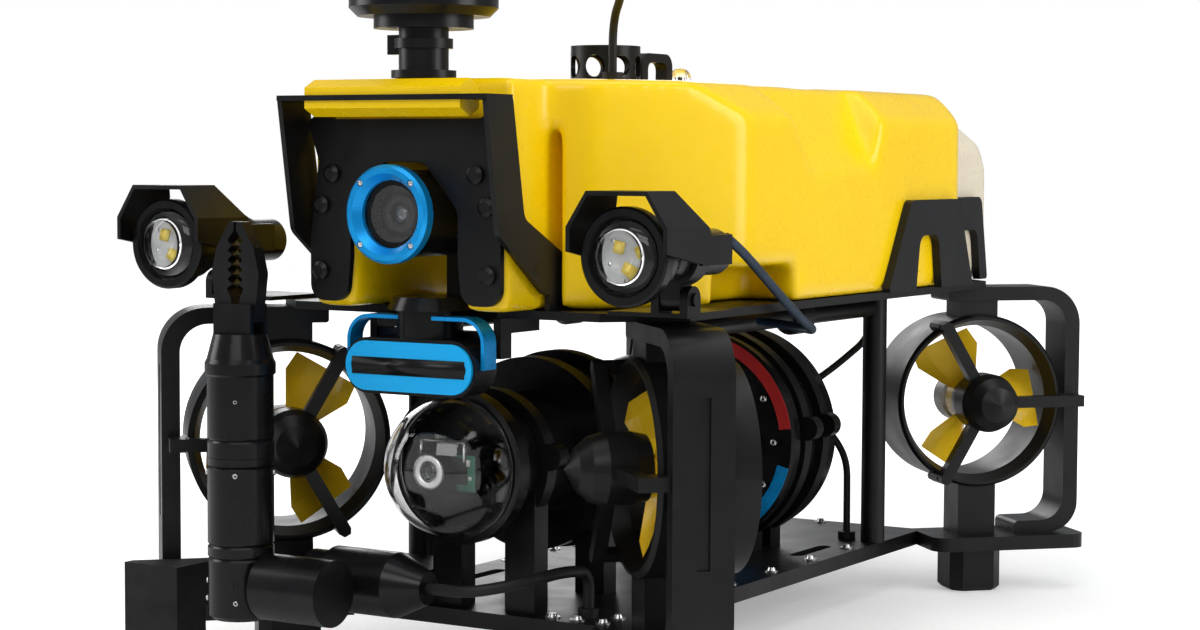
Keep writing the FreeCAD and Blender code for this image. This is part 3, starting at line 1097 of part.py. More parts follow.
def clamp_ring(radius, along, high, foot_half):
    """Clamp ring round a pod: band, two split lugs with bolts, and a foot down to the base plate."""
    inner = radius + size.seat_gap
    outer = inner + size.clamp_wall
    plate_top = size.foot_height + size.plate_thick
    start = Vector(0, along - size.clamp_wide / 2, high)
    band = Part.makeCylinder(outer, size.clamp_wide, start, Vector(0, 1, 0))
    pieces = []
    for wing in (-1, 1):
        lug = Part.makeCylinder(size.clamp_lug, size.clamp_wide,
                                start + Vector(wing * (outer + 1), 0, outer * 0.12), Vector(0, 1, 0))
        pieces.append(lug)
        leg = Part.makeBox(foot_half * 0.8, size.clamp_wide + 8, high - plate_top,
                           Vector(foot_half * (0.6 if wing > 0 else -1.4), along - size.clamp_wide / 2 - 4, plate_top))
        pieces.append(leg)
    whole = band.fuse(pieces)
    return whole.cut(Part.makeCylinder(inner, size.clamp_wide + 20, start - Vector(0, 10, 0), Vector(0, 1, 0)))


def make_clamps():
    """Clamp rings of both pods."""
    rings = [
        coded("ClampFront", clamp_ring(size.pod_radius, size.pod_front + size.pod_rim_long + size.clamp_wide / 2 + 6,
                                       size.pod_height, size.clamp_foot_half)),
        coded("ClampRear", clamp_ring(size.pod_radius,
                                      size.pod_front + size.pod_length - size.pod_rim_long - size.clamp_wide / 2 - 6,
                                      size.pod_height, size.clamp_foot_half)),
        coded("ClampCamera", clamp_ring(size.camera_pod_radius, -(size.pod_flange_front + size.camera_pod_rear) / 2 + 8,
                                        size.dome_height, size.clamp_foot_half)),
        coded("ClampNeck", clamp_ring(size.pod_neck, -(size.dome_centre + size.pod_flange_front) / 2 - 4,
                                      size.dome_height, size.clamp_foot_half))]
    return keep(group("PodClamps", rings), "pod_clamps")


# ---------------------------------------------------------------- thrusters

def make_duct(name, spot):
    """Nozzle ring with a bluff nose on three struts that bend back to its outside."""
    body = doc.addObject("PartDesign::Body", "Duct_" + name)
    hub = add_sketch(body, "Hub_" + name, "XZ_Plane")
    draw_outline(hub, [
        ("0", "-Size.hub_skirt"), ("Size.hub_radius - 3", "-Size.hub_skirt"), ("Size.hub_radius", "0"),
        ("Size.hub_radius", "Size.hub_shoulder"), ("Size.hub_radius * 0.88", "Size.hub_shoulder + 14"),
        ("Size.hub_radius * 0.6", "Size.nose_length - 11"), ("Size.nose_tip", "Size.nose_length - 3"),
        ("0", "Size.nose_length")])
    turn = body.newObject("PartDesign::Revolution", "HubTurn_" + name)
    turn.Profile = hub
    turn.ReferenceAxis = (hub, ["V_Axis"])
    turn.Angle = 360
    leg_out = "Size.guard_reach - Size.guard_wall - Size.seat_gap"
    bar = add_sketch(body, "Strut_" + name, "XY_Plane", "Size.strut_front - Size.strut_thick")
    side = "Size.strut_width / 2"
    draw_outline(bar, [("Size.hub_radius / 2", "-" + side), (leg_out + " - 5", "-" + side),
                       (leg_out, "-%s + 3" % side), (leg_out, side + " - 3"), (leg_out + " - 5", side),
                       ("Size.hub_radius / 2", side)])
    strut = pad(body, "StrutPad_" + name, bar, "Size.strut_thick")
    leg_sketch = add_sketch(body, "Leg_" + name, "XY_Plane", "Size.strut_front - Size.strut_thick")
    draw_outline(leg_sketch, [("Size.nozzle_radius - 4", "-" + side), (leg_out + " - 3", "-" + side),
                              (leg_out, "-%s + 3" % side), (leg_out, side + " - 3"), (leg_out + " - 3", side),
                              ("Size.nozzle_radius - 4", side)])
    leg = pad(body, "LegPad_" + name, leg_sketch, "Size.strut_front + Size.guard_front", backward=True)
    ring = body.newObject("PartDesign::PolarPattern", "Struts_" + name)
    ring.Originals = [strut, leg]
    ring.Axis = (bar, ["N_Axis"])
    ring.Angle = 360
    ring.Occurrences = 3
    body.Tip = ring
    land = add_sketch(body, "GuardLand_" + name, "XY_Plane", "-Size.guard_front")
    draw_outline(land, [(leg_out + " - 3", "-" + side), ("Size.guard_reach - 6", "-" + side),
                        ("Size.guard_reach - 6", side), (leg_out + " - 3", side)])
    pad(body, "GuardLandPad_" + name, land, "Size.guard_front + Size.strut_front")
    nozzle = add_sketch(body, "Nozzle_" + name, "XZ_Plane")
    back = "-Size.nozzle_length"
    draw_outline(nozzle, [
        ("Size.mouth_radius", "0"), ("Size.nozzle_radius - 3", "0"), ("Size.nozzle_radius", "0 - 4"),
        ("Size.nozzle_radius - Size.nozzle_taper", back), ("Size.throat_radius + 1", back),
        ("Size.throat_radius", "-Size.inlet_depth")])
    ring_turn = body.newObject("PartDesign::Revolution", "NozzleTurn_" + name)
    ring_turn.Profile = nozzle
    ring_turn.ReferenceAxis = (nozzle, ["V_Axis"])
    ring_turn.Angle = 360
    body.Placement = spot
    return keep(body, name + "_duct")


def blade_section(reach, chord, thick, pitch):
    """Outline of a blade across its length, at a distance from the hub's axis."""
    corners = [Vector(0, -chord / 2, 0), Vector(0, -chord / 4, thick / 2), Vector(0, chord / 4, thick / 2),
               Vector(0, chord / 2, 0), Vector(0, chord / 4, -thick / 2), Vector(0, -chord / 4, -thick / 2)]
    turn = Rotation(Vector(1, 0, 0), pitch)
    ring = [turn.multVec(corner) + Vector(reach, 0, 0) for corner in corners]
    return Part.makePolygon(ring + ring[:1])


def make_propeller(label, spot, tip, hand):
    """Three wide twisted blades on a bored hub; hand is +1 or -1 for the way they screw."""
    top = -size.hub_skirt - size.hub_gap
    low = top - size.blade_hub_length
    bore = size.shaft_radius + size.running_fit
    hub = turned([(bore, low), (size.blade_hub - 3, low), (size.blade_hub, low + 4), (size.blade_hub, top),
                  (bore, top)])
    blades = []
    for step in range(3):
        blade = Part.makeLoft([
            blade_section(size.blade_hub - 4, size.blade_root_chord, size.blade_thick, hand * size.blade_root_pitch),
            blade_section(tip * 0.7, size.blade_tip_chord, size.blade_thick, hand * size.blade_middle_pitch),
            blade_section(tip - 5, size.blade_tip_chord * 0.9, size.blade_thick / 2, hand * size.blade_tip_pitch)],
            True, True)
        blade.translate(Vector(0, 0, (top + low) / 2))
        blade.rotate(Vector(), Vector(0, 0, 1), 120 * step)
        blades.append(blade)
    return keep(coded("Propeller_" + label, hub.fuse(blades), spot), label)


def tail_shape():
    """Shaft through the propeller and the tail drum behind it, turned as one."""
    back = -size.hub_skirt - size.hub_gap - size.blade_hub_length - size.hub_gap
    end = back - size.tail_length
    drum = turned([(0, -size.hub_skirt), (size.shaft_radius, -size.hub_skirt), (size.shaft_radius, back),
                   (size.tail_radius, back), (size.tail_radius, end + 8), (size.tail_radius * 0.8, end), (0, end)])
    slot = Part.makeBox(size.tail_slot, 2 * size.tail_radius, size.tail_length * 0.45,
                        Vector(-size.tail_slot / 2, size.tail_radius * 0.7, back - size.tail_length * 0.7))
    return drum.cut(slot)


def make_thrusters():
    tails = []
    for name, out, along, side, end in THRUSTERS:
        spot = thruster_frame(out, along, side, end)
        make_duct(name, spot)
        hand = side if end == "front" else -side
        make_propeller(name + "_propeller", spot, size.blade_tip, hand)
        tails.append(coded("Tail_" + name, tail_shape(), spot))
    keep(group("ThrusterTails", tails), "thruster_tails")


def make_lift_thrusters():
    """Vertical thrusters: a hub on three struts across each float tunnel, its propeller below."""
    mounts = []
    for side, tag, name in ((1, "P", "port"), (-1, "S", "starboard")):
        drop = size.lift_height - size.lift_hub_length / 2 + size.hub_skirt
        spot = Placement(Vector(side * size.tunnel_out, -size.tunnel_along, drop), UPRIGHT)
        half = size.lift_hub_length / 2
        hub = turned([(0, -size.hub_skirt), (size.lift_hub, -size.hub_skirt), (size.lift_hub, half),
                      (size.lift_hub * 0.5, half + 12), (0, half + 14)])
        struts = []
        for step in range(3):
            bar = Part.makeBox(size.tunnel_radius - size.seat_gap - size.lift_hub / 2, size.lift_strut, size.lift_strut,
                               Vector(size.lift_hub / 2, -size.lift_strut / 2, 0))
            bar.rotate(Vector(), Vector(0, 0, 1), 90 + 120 * step)
            struts.append(bar)
        struts.append(tail_shape())
        mounts.append(coded("LiftMount" + tag, hub.fuse(struts).removeSplitter(), spot))
        make_propeller(name + "_lift_propeller", spot, size.lift_tip, side)
    keep(group("LiftMounts", mounts), "lift_thruster_mounts")


# ---------------------------------------------------------------- mast and top fittings

def make_mast():
    column = revolved("MastColumnBody", [
        ("0", "Size.float_top"), ("Size.mast_foot", "Size.float_top"),
        ("Size.mast_foot", "Size.float_top + Size.mast_foot_thick"),
        ("Size.mast_radius", "Size.float_top + Size.mast_foot_thick"),
        ("Size.mast_radius", "Size.mast_top - Size.mast_flange_thick"),
        ("Size.mast_flange", "Size.mast_top - Size.mast_flange_thick"), ("Size.mast_flange", "Size.mast_top"),
        ("0", "Size.mast_top")])
    place(column, "0", "-Size.mast_along", "0")
    band = cylinder("MastBand", "Size.mast_radius + Size.mast_band", "Size.mast_clamp_long / 2", "0",
                    "-Size.mast_along", "Size.mast_top - Size.mast_flange_thick - Size.mast_clamp_long")
    lug = box("MastLug", "Size.mast_clamp_long", "Size.mast_clamp_long / 2", "Size.mast_clamp_long",
              "-Size.mast_radius - Size.mast_clamp_long + 2 * Size.mast_band", "-Size.mast_along - Size.mast_radius / 2",
              "Size.mast_top - Size.mast_flange_thick - 1.3 * Size.mast_clamp_long")
    keep(fused("MastColumn", [column, band, lug]), "mast_column")
    head = revolved("MastHeadBody", [
        ("0", "Size.mast_top"), ("Size.head_radius - Size.head_bevel", "Size.mast_top"),
        ("Size.head_radius", "Size.mast_top + Size.head_bevel"),
        ("Size.head_radius", "Size.mast_top + Size.head_height - Size.head_bevel"),
        ("Size.head_radius - Size.head_bevel", "Size.mast_top + Size.head_height"),
        ("0", "Size.mast_top + Size.head_height")])
    place(head, "0", "-Size.mast_along", "0")
    keep(head, "mast_head")


def make_top_fittings():
    """Sensor cage with round ports, the lifting handle and the faceted beacon along the middle."""
    top = size.float_top
    cage = Part.makeCylinder(size.cage_radius, size.cage_height, Vector(0, -size.cage_along, top))
    inner = Part.makeCylinder(size.cage_radius - size.cage_wall, size.cage_height - 2 * size.cage_wall,
                              Vector(0, -size.cage_along, top + size.cage_wall))
    cage = cage.cut(inner)
    ports = []
    for step in range(4):
        port = Part.makeCylinder(size.cage_port, 2 * size.cage_radius + 4,
                                 Vector(-size.cage_radius - 2, 0, 0), Vector(1, 0, 0))
        port.rotate(Vector(), Vector(0, 0, 1), 45 * step + 12)
        port.translate(Vector(0, -size.cage_along, top + size.cage_height / 2))
        ports.append(port)
    keep(coded("SensorCage", cage.cut(ports)), "sensor_cage")
    long, tall, bar = size.handle_long, size.handle_height, size.handle_bar
    outer = rounded_face([(-long / 2, 0, 0), (long / 2, 0, 0), (long / 2, tall, 14), (-long / 2, tall, 14)])
    gap = rounded_face([(-long / 2 + bar, -1, 0), (long / 2 - bar, -1, 0), (long / 2 - bar, tall - bar * 0.8, 8),
                        (-long / 2 + bar, tall - bar * 0.8, 8)])
    handle = outer.cut(gap).extrude(Vector(0, 0, size.handle_thick))
    handle.rotate(Vector(), Vector(1, 0, 0), 90)
    handle.rotate(Vector(), Vector(0, 0, 1), 90)
    handle.translate(Vector(-size.handle_thick / 2, -size.handle_along, top))
    keep(coded("LiftingHandle", handle), "lifting_handle")
    beacon = doc.addObject("PartDesign::Body", "BeaconBody")
    facets = add_sketch(beacon, "BeaconBase", "XY_Plane", "Size.float_top")
    draw_circle(facets, "0", "0", "Size.beacon_base")
    pad(beacon, "BeaconFoot", facets, "Size.beacon_base_tall")
    waist = size.beacon_radius
    lamp = []
    for radius, height in ((0.62, 0.0), (1.0, 0.4), (0.95, 0.65), (0.5, 1.0)):
        ring = [Vector(waist * radius, 0, size.beacon_base_tall + size.beacon_height * height)]
        turn = Rotation(Vector(0, 0, 1), 45)
        for step in range(8):
            ring.append(turn.multVec(ring[-1]))
        lamp.append(Part.makePolygon(ring[:8] + ring[:1]))
    gem = Part.makeLoft(lamp, True, True)
    gem.translate(Vector(0, 0, top))
    whole = fused("Beacon", [beacon, coded("BeaconGem", gem)])
    whole.Placement = Placement(Vector(0, size.beacon_along, 0), UPRIGHT)
    keep(whole, "beacon")


# ---------------------------------------------------------------- trim blocks and manipulator

def make_trim_block():
    """Foam trim block in front of the starboard guard, notched to sit on the plate's lobe."""
    name, out, along, side, end = THRUSTERS[1]
    spot = thruster_frame(out, along, side, end)
    across = -size.block_out - size.block_wide
    foam = Part.makeBox(size.block_wide, size.block_front - along, size.block_height - size.block_under,
                        Vector(across, -size.block_front, size.block_under))
    behind = Part.makeBox(4 * size.lobe_reach, 2 * size.frame_under, size.lobe_reach,
                          Vector(-2 * size.lobe_reach, -size.frame_under,
                                 -size.guard_front + size.seat_gap - size.lobe_reach))
    lobe = Part.makeBox(2 * (size.lobe_reach + size.seat_gap), size.plate_thick + size.foot_height,
                        2 * (size.lobe_lead + size.seat_gap),
                        Vector(-size.lobe_reach - size.seat_gap, -size.plate_thick - size.foot_height,
                               -size.lobe_lead - size.seat_gap))
    behind.Placement = spot
    low = Placement(Vector(spot.Base.x, spot.Base.y, size.foot_height + size.plate_thick), spot.Rotation)
    if up_sign(spot) < 0:
        lobe.translate(Vector(0, size.plate_thick + size.foot_height, 0))
    lobe.Placement = low.multiply(lobe.Placement)
    return keep(coded("TrimBlock", foam.cut([behind, lobe]).removeSplitter()), "trim_block")


def x_cylinder(radius, start, end, along, high):
    return Part.makeCylinder(radius, end - start, Vector(start, along, high), Vector(1, 0, 0))


def make_plinth():
    """Block on the starboard side of the base plate that carries the manipulator."""
    plinth = box("PlinthBlock", "Size.plinth_out - Size.plinth_inner", "Size.plinth_front - Size.plinth_rear",
                 "Size.plinth_top - Size.foot_height - Size.plate_thick", "-Size.plinth_out", "-Size.plinth_front",
                 "Size.foot_height + Size.plate_thick")
    keep(plinth, "arm_plinth")


def make_manipulator():
    """Arm: shoulder housing, elbow housing on a link, forearm tube, wrist and two toothed jaws."""
    x, y, z = -size.arm_out, -size.arm_along, size.arm_pivot_height
    sy = -size.shoulder_along
    near = x + size.arm_radius
    inner_end = near + 0.5 + size.link_thick + 2
    pin = size.arm_pin
    bore = pin + size.running_fit
    shoulder = x_cylinder(size.shoulder_radius, inner_end, -size.shoulder_port, sy, z)
    cap = Part.makeCone(size.shoulder_radius, size.shoulder_radius * 0.5, size.shoulder_cone,
                        Vector(-size.shoulder_port, sy, z), Vector(1, 0, 0))
    saddle = Part.makeBox(-size.plinth_inner - inner_end - 2, size.shoulder_along - size.plinth_front - size.seat_gap,
                          20, Vector(inner_end, sy, z - 22))
    shoulder = shoulder.fuse([cap, saddle]).cut(x_cylinder(bore, inner_end - 1, inner_end + 24, sy, z))
    keep(coded("ArmShoulder", shoulder.removeSplitter()), "arm_shoulder")
    start = near + 0.5
    housing = x_cylinder(size.elbow_radius, start, -size.elbow_port, y, z)
    link = Part.makeBox(size.link_thick, sy - y, 26, Vector(start, y, z - 13))
    knuckle = x_cylinder(size.link_radius, start, start + size.link_thick, sy, z)
    axle = x_cylinder(pin, start + size.link_thick, inner_end + 22, sy, z)
    elbow = housing.fuse([link, knuckle, axle]).cut(x_cylinder(bore, start - 1, start + 22, y, z))
    keep(coded("ArmElbow", elbow.removeSplitter()), "arm_elbow")
    r = size.arm_radius
    profile = [(0, -32), (r - 4, -32), (r, -28), (r, 24), (r - 1.5, 26), (r, 28), (r, 36), (r - 1.5, 38), (r, 40),
               (r, 110), (r - 1.5, 111.5), (r, 113), (r, 120), (12 + size.running_fit, 120),
               (12 + size.running_fit, 98), (0, 98)]
    tube = turned(profile)
    tube.translate(Vector(x, y, z))
    stub = x_cylinder(pin, x, start + 20, y, z)
    keep(coded("ArmForearm", tube.fuse(stub).removeSplitter()), "arm_forearm")
    low = size.arm_tube_top - z + size.arm_joint_gap
    top = size.wrist_top - z
    collar = size.collar_top - z
    wrist = turned([(0, 100), (12, 100), (12, low), (r, low), (r, low + 14), (r - 1.5, low + 16), (r, low + 18),
                    (r, top - 16), (r + 2, top - 14), (r + 2, top - 4), (r, top), (r - 6, collar - 8), (0, collar - 8)])
    cheeks = []
    for wing in (-1, 1):
        cheek_y = size.jaw_thick / 2 + 0.3 if wing > 0 else -size.jaw_thick / 2 - 0.3 - 5
        cheeks.append(Part.makeBox(44, 5, 30, Vector(-22, cheek_y, collar - 10)))
        for side in (-1, 1):
            cheeks.append(Part.makeCylinder(size.jaw_pin, size.jaw_thick + 10, Vector(
                side * size.jaw_pivot, -size.jaw_thick / 2 - 5, collar + 12), Vector(0, 1, 0)))
    wrist = wrist.fuse(cheeks)
    wrist.translate(Vector(x, y, z))
    keep(coded("ArmWrist", wrist.removeSplitter()), "arm_wrist")
    root = size.collar_top + 12
    outline = [(10, -9), (2, 0), (6, 14), (10, 22)]
    reach = size.jaw_length
    for step in range(5):
        outline += [(4.0, 26 + step * 9.0), (9.0, 30.5 + step * 9.0)]
    outline += [(1.5, reach - 8), (1.5, reach), (7, reach), (22, reach - 24), (28, reach - 48), (25, 12), (22, -9)]
    for side, name in ((1, "port"), (-1, "starboard")):
        face = Part.Face(Part.makePolygon([Vector(side * px, 0, pz) for px, pz in outline + outline[:1]]))
        jaw = face.extrude(Vector(0, size.jaw_thick, 0))
        jaw.translate(Vector(0, -size.jaw_thick / 2, 0))
        jaw = jaw.cut(Part.makeCylinder(size.jaw_pin + size.running_fit, size.jaw_thick + 4,
                                        Vector(side * size.jaw_pivot, -size.jaw_thick / 2 - 2, 0), Vector(0, 1, 0)))
        jaw.translate(Vector(x, y, root))
        keep(coded("Jaw_" + name, jaw), name + "_jaw")


# ---------------------------------------------------------------- screws and cables

def pan_screw(across, along, height):
    """Washer and pan head standing on a deck."""
    washer = Part.makeCylinder(size.washer_radius, size.washer_thick, Vector(across, along, height))
    head = Part.makeCone(size.pan_radius, size.pan_radius * 0.7, size.pan_tall,
                         Vector(across, along, height + size.washer_thick))
    return washer.fuse(head)


def make_deck_screws():
    """Pan-head screws that hold what stands on the base plate."""
    top = size.foot_height + size.plate_thick
    edge = size.spine_half - size.screw_inset
    spots = []
    for side in (-1, 1):
        spots.append((side * size.screw_inner, size.spine_rear - size.screw_inset))
        for step in range(5):
            spots.append((side * edge, -size.front_post + size.screw_pitch * (step + 0.7)))
    for step in range(2):
        spots.append((size.screw_inner + (step + 2) * size.screw_inset * 2, -size.spine_front + size.screw_inset))
        spots.append((edge, -size.spine_front + size.screw_inset * (1 + 2 * step)))
    screws = [coded("DeckScrew%d" % number, pan_screw(across, along, top))
              for number, (across, along) in enumerate(spots)]
    return keep(group("DeckScrews", screws), "deck_screws")


def gland(across, along, height, radius, tall, direction):
    """Cable gland: a short turned collar that a cable's end stands on."""
    return Part.makeCylinder(radius, tall, Vector(across, along, height), direction)


def make_cables():
    """Cables that the vehicle holds from end to end, each between two glands."""
    top = size.foot_height + size.plate_thick
    up, down = Vector(0, 0, 1), Vector(0, 0, -1)
    tall, wide = size.gland_tall, size.gland_radius
    head = Vector(math.cos(0.36), math.sin(0.36), 0)
    plug_start = Vector(0, -size.mast_along, size.mast_top + size.head_height / 2) + head * size.head_radius
    plug_end = plug_start + head * size.plug_long
    lead = plug_end + head * 38
    pieces = [
        ("MastPlug", Part.makeCylinder(size.plug_radius, size.plug_long, plug_start, head)),
        ("MastGland", gland(106, -263, size.float_top, wide, tall, up)),
        ("ArmGland", gland(108, -306, top, wide, tall, up)),
        ("PodRearGland", gland(60, size.pod_front + size.pod_length, 240, wide, tall, Vector(0, 1, 0))),
        ("FrameRearGland", gland(118, 300, size.frame_under, wide, tall, down)),
        ("PodSideGland", gland(90, size.pod_front + size.pod_length, 190, wide, tall, Vector(0, 1, 0))),
        ("PlateRearGland", gland(106, 266, top, wide, tall, up)),
    ]
    routes = [
        ("MastCable", size.cable_radius, [
            plug_end, lead, Vector(152, -340, plug_end.z + 2), Vector(136, -296, 656), Vector(106, -263, 632),
            Vector(106, -263, size.float_top + tall)]),
        ("ArmCable", size.arm_cable_radius, [
            Vector(-size.shoulder_port + size.shoulder_cone, -size.shoulder_along, size.arm_pivot_height),
            Vector(52, -size.shoulder_along, size.arm_pivot_height), Vector(92, -402, 110), Vector(108, -352, 116), Vector(108, -306, 110),
            Vector(108, -306, top + tall)]),
        ("PodCableUpper", size.cable_radius, [
            Vector(60, size.pod_front + size.pod_length + tall, 240), Vector(60, 252, 240), Vector(80, 286, 262),
            Vector(118, 300, 298), Vector(118, 300, size.frame_under - tall)]),
        ("PodCableLower", size.cable_radius, [
            Vector(90, size.pod_front + size.pod_length + tall, 190), Vector(90, 254, 190), Vector(100, 278, 156),
            Vector(106, 266, 112), Vector(106, 266, top + tall)]),
    ]
    for name, radius, points in routes:
        pieces.append((name, cord_tube(points, radius)))
    return keep(group("HeldCables", [coded(name, shape) for name, shape in pieces]), "held_cables")


# ---------------------------------------------------------------- build and export

make_base_plate()
make_top_frame()
make_guards()
make_pillars()
make_feet()
make_float_block()
make_stern_float()
make_clips()
make_plate_bolts()
make_bumper()
make_strap()
make_main_camera(make_camera_plate())
for light_side, light_tag in ((1, "port"), (-1, "starboard")):
    make_light(light_side, light_tag)
keep(group("LightBrackets", [light_bracket(1, "P"), light_bracket(-1, "S")]), "light_brackets")
make_sonar()
make_dome_camera()
make_electronics_pod()
make_clamps()
make_thrusters()
make_lift_thrusters()
make_mast()
make_top_fittings()
make_trim_block()
make_plinth()
make_manipulator()
make_deck_screws()
make_cables()
doc.recompute()

for item in doc.Objects:
    if "Invalid" in item.State or "Error" in item.State:
        raise RuntimeError("%s did not recompute" % item.Name)
os.makedirs("parts", exist_ok=True)
for item in sub_parts:
    if item.Shape.isNull() or not item.Shape.isValid():
        raise RuntimeError("%s has no sound shape" % item.Label)
    item.Shape.exportStep("parts/%s.step" % item.Label)
print("sub-parts", len(sub_parts))
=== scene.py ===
import json
import math

import bmesh
import bpy
from mathutils import Matrix, Vector


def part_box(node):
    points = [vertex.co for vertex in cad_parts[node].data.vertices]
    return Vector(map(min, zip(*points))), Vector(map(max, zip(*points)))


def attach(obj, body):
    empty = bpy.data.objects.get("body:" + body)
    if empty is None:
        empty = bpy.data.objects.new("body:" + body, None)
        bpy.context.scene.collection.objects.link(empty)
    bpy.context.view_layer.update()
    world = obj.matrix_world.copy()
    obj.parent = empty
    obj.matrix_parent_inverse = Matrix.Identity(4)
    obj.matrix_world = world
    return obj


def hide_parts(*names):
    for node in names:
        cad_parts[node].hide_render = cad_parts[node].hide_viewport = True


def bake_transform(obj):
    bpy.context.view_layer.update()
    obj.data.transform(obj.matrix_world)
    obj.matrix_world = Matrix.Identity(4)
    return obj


# Looks of the underwater inspection vehicle. Metres; -Y is its front, +X its port side, +Z up.

bpy.context.scene.view_settings.view_transform = "Standard"
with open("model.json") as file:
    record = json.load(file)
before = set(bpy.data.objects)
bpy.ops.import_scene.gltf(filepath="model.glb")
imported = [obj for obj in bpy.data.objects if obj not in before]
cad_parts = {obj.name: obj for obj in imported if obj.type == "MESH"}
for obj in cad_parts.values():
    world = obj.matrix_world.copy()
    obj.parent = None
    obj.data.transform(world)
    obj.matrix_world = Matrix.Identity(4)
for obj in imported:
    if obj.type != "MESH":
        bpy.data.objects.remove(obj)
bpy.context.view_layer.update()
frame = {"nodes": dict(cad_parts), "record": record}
nodes = frame["nodes"]

FORWARD = (0, -1, 0)
SKIN_VOXEL = 0.0045
SKIN_ROUNDS = 22
DOME_WALL = 0.0032
DOME_STEPS = 40
LIGHT_CABLE_RADIUS = 0.0045
SENSOR_WIDTH_MM = 36.0
FOCAL_LENGTH_MM = 74.13
CAMERA_PLACE = (1.3172, -2.2819, 0.5038)
CAMERA_AIM = (-0.5155, 0.8545, -0.0644)
CAMERA_ROLL = 0.26
FLOOR_DROP = 0.0005
BEZEL_SCREW_CIRCLE = 0.0395


# ---------------------------------------------------------------- materials

class Shader:
    """A node material built up from a Principled shader, in object space."""

    def __init__(self, name, colour, roughness, metallic=0.0):
        self.material = bpy.data.materials.new(name)
        self.material.use_nodes = True
        self.tree = self.material.node_tree
        self.shader = self.tree.nodes["Principled BSDF"]
        self.shader.inputs["Base Color"].default_value = (*colour, 1)
        self.shader.inputs["Roughness"].default_value = roughness
        self.shader.inputs["Metallic"].default_value = metallic
        self.place = self.add("ShaderNodeTexCoord").outputs["Object"]
        self.height = None

    def add(self, kind, **settings):
        node = self.tree.nodes.new(kind)
        for key, value in settings.items():
            setattr(node, key, value)
        return node

    def noise(self, scale, detail=3.0, stretch=(1, 1, 1)):
        mapping = self.add("ShaderNodeMapping")
        mapping.inputs["Scale"].default_value = stretch
        self.tree.links.new(self.place, mapping.inputs["Vector"])
        noise = self.add("ShaderNodeTexNoise")
        noise.inputs["Scale"].default_value = scale
        noise.inputs["Detail"].default_value = detail
        self.tree.links.new(mapping.outputs["Vector"], noise.inputs["Vector"])
        return noise.outputs["Fac"]

    def spread(self, value, low, high, start=0.3, end=0.7):
        """Maps a value between start and end to the range low to high."""
        node = self.add("ShaderNodeMapRange")
        node.inputs["From Min"].default_value = start
        node.inputs["From Max"].default_value = end
        node.inputs["To Min"].default_value = low
        node.inputs["To Max"].default_value = high
        self.tree.links.new(value, node.inputs["Value"])
        return node.outputs["Result"]

    def vary_roughness(self, scale, low, high, stretch=(1, 1, 1)):
        sheen = self.spread(self.noise(scale, 4.0, stretch), low, high)
        self.tree.links.new(sheen, self.shader.inputs["Roughness"])
        return self

    def vary_colour(self, scale, first, second, stretch=(1, 1, 1)):
        ramp = self.add("ShaderNodeValToRGB")
        ramp.color_ramp.elements[0].color = (*first, 1)
        ramp.color_ramp.elements[1].color = (*second, 1)
        ramp.color_ramp.elements[0].position = 0.35
        ramp.color_ramp.elements[1].position = 0.65
        self.tree.links.new(self.noise(scale, 3.0, stretch), ramp.inputs["Fac"])
        self.tree.links.new(ramp.outputs["Color"], self.shader.inputs["Base Color"])
        return self

    def bump(self, scale, distance, detail=2.0, stretch=(1, 1, 1)):
        node = self.add("ShaderNodeBump")
        node.inputs["Strength"].default_value = 1.0
        node.inputs["Distance"].default_value = distance
        self.tree.links.new(self.noise(scale, detail, stretch), node.inputs["Height"])
        if self.height is not None:
            self.tree.links.new(self.height, node.inputs["Normal"])
        self.height = node.outputs["Normal"]
        self.tree.links.new(self.height, self.shader.inputs["Normal"])
        return self

    def coat(self, weight, roughness):
        self.shader.inputs["Coat Weight"].default_value = weight
        self.shader.inputs["Coat Roughness"].default_value = roughness
        return self


def gloss_shell(name, first, second):
    """Moulded gloss plastic with a slight orange peel and faint handling marks."""
    made = Shader(name, first, 0.3).vary_colour(9, first, second).vary_roughness(60, 0.24, 0.34)
    made.shader.inputs["Specular IOR Level"].default_value = 0.3
    return made.bump(240, 0.000008).bump(7, 0.00008, 1.0).coat(0.18, 0.08).material


def black_plastic(name, colour, low, high):
    """Machined or moulded black plastic, with fine grain and uneven sheen."""
    lighter = tuple(part * 1.5 for part in colour)
    made = Shader(name, colour, 0.4).vary_colour(35, colour, lighter).vary_roughness(24, low, high)
    made.shader.inputs["Specular IOR Level"].default_value = 0.24
    return made.bump(1400, 0.00004, 2.0).bump(90, 0.00005).material


def anodised(name, colour, low, high, metallic=0.9):
    """Anodised or painted metal with a fine turned grain."""
    lighter = tuple(min(1, part * 1.25 + 0.004) for part in colour)
    made = Shader(name, colour, 0.35, metallic).vary_colour(30, colour, lighter).vary_roughness(45, low, high)
    return made.bump(2200, 0.00002, 2.0, (1, 0.15, 1)).material


def clear_plastic(name, roughness=0.0, tint=(1, 1, 1), ior=1.42):
    made = Shader(name, tint, roughness)
    made.shader.inputs["Transmission Weight"].default_value = 1.0
    made.shader.inputs["IOR"].default_value = ior
    haze = made.spread(made.noise(12), roughness, roughness + 0.02)
    made.tree.links.new(haze, made.shader.inputs["Roughness"])
    return made.material


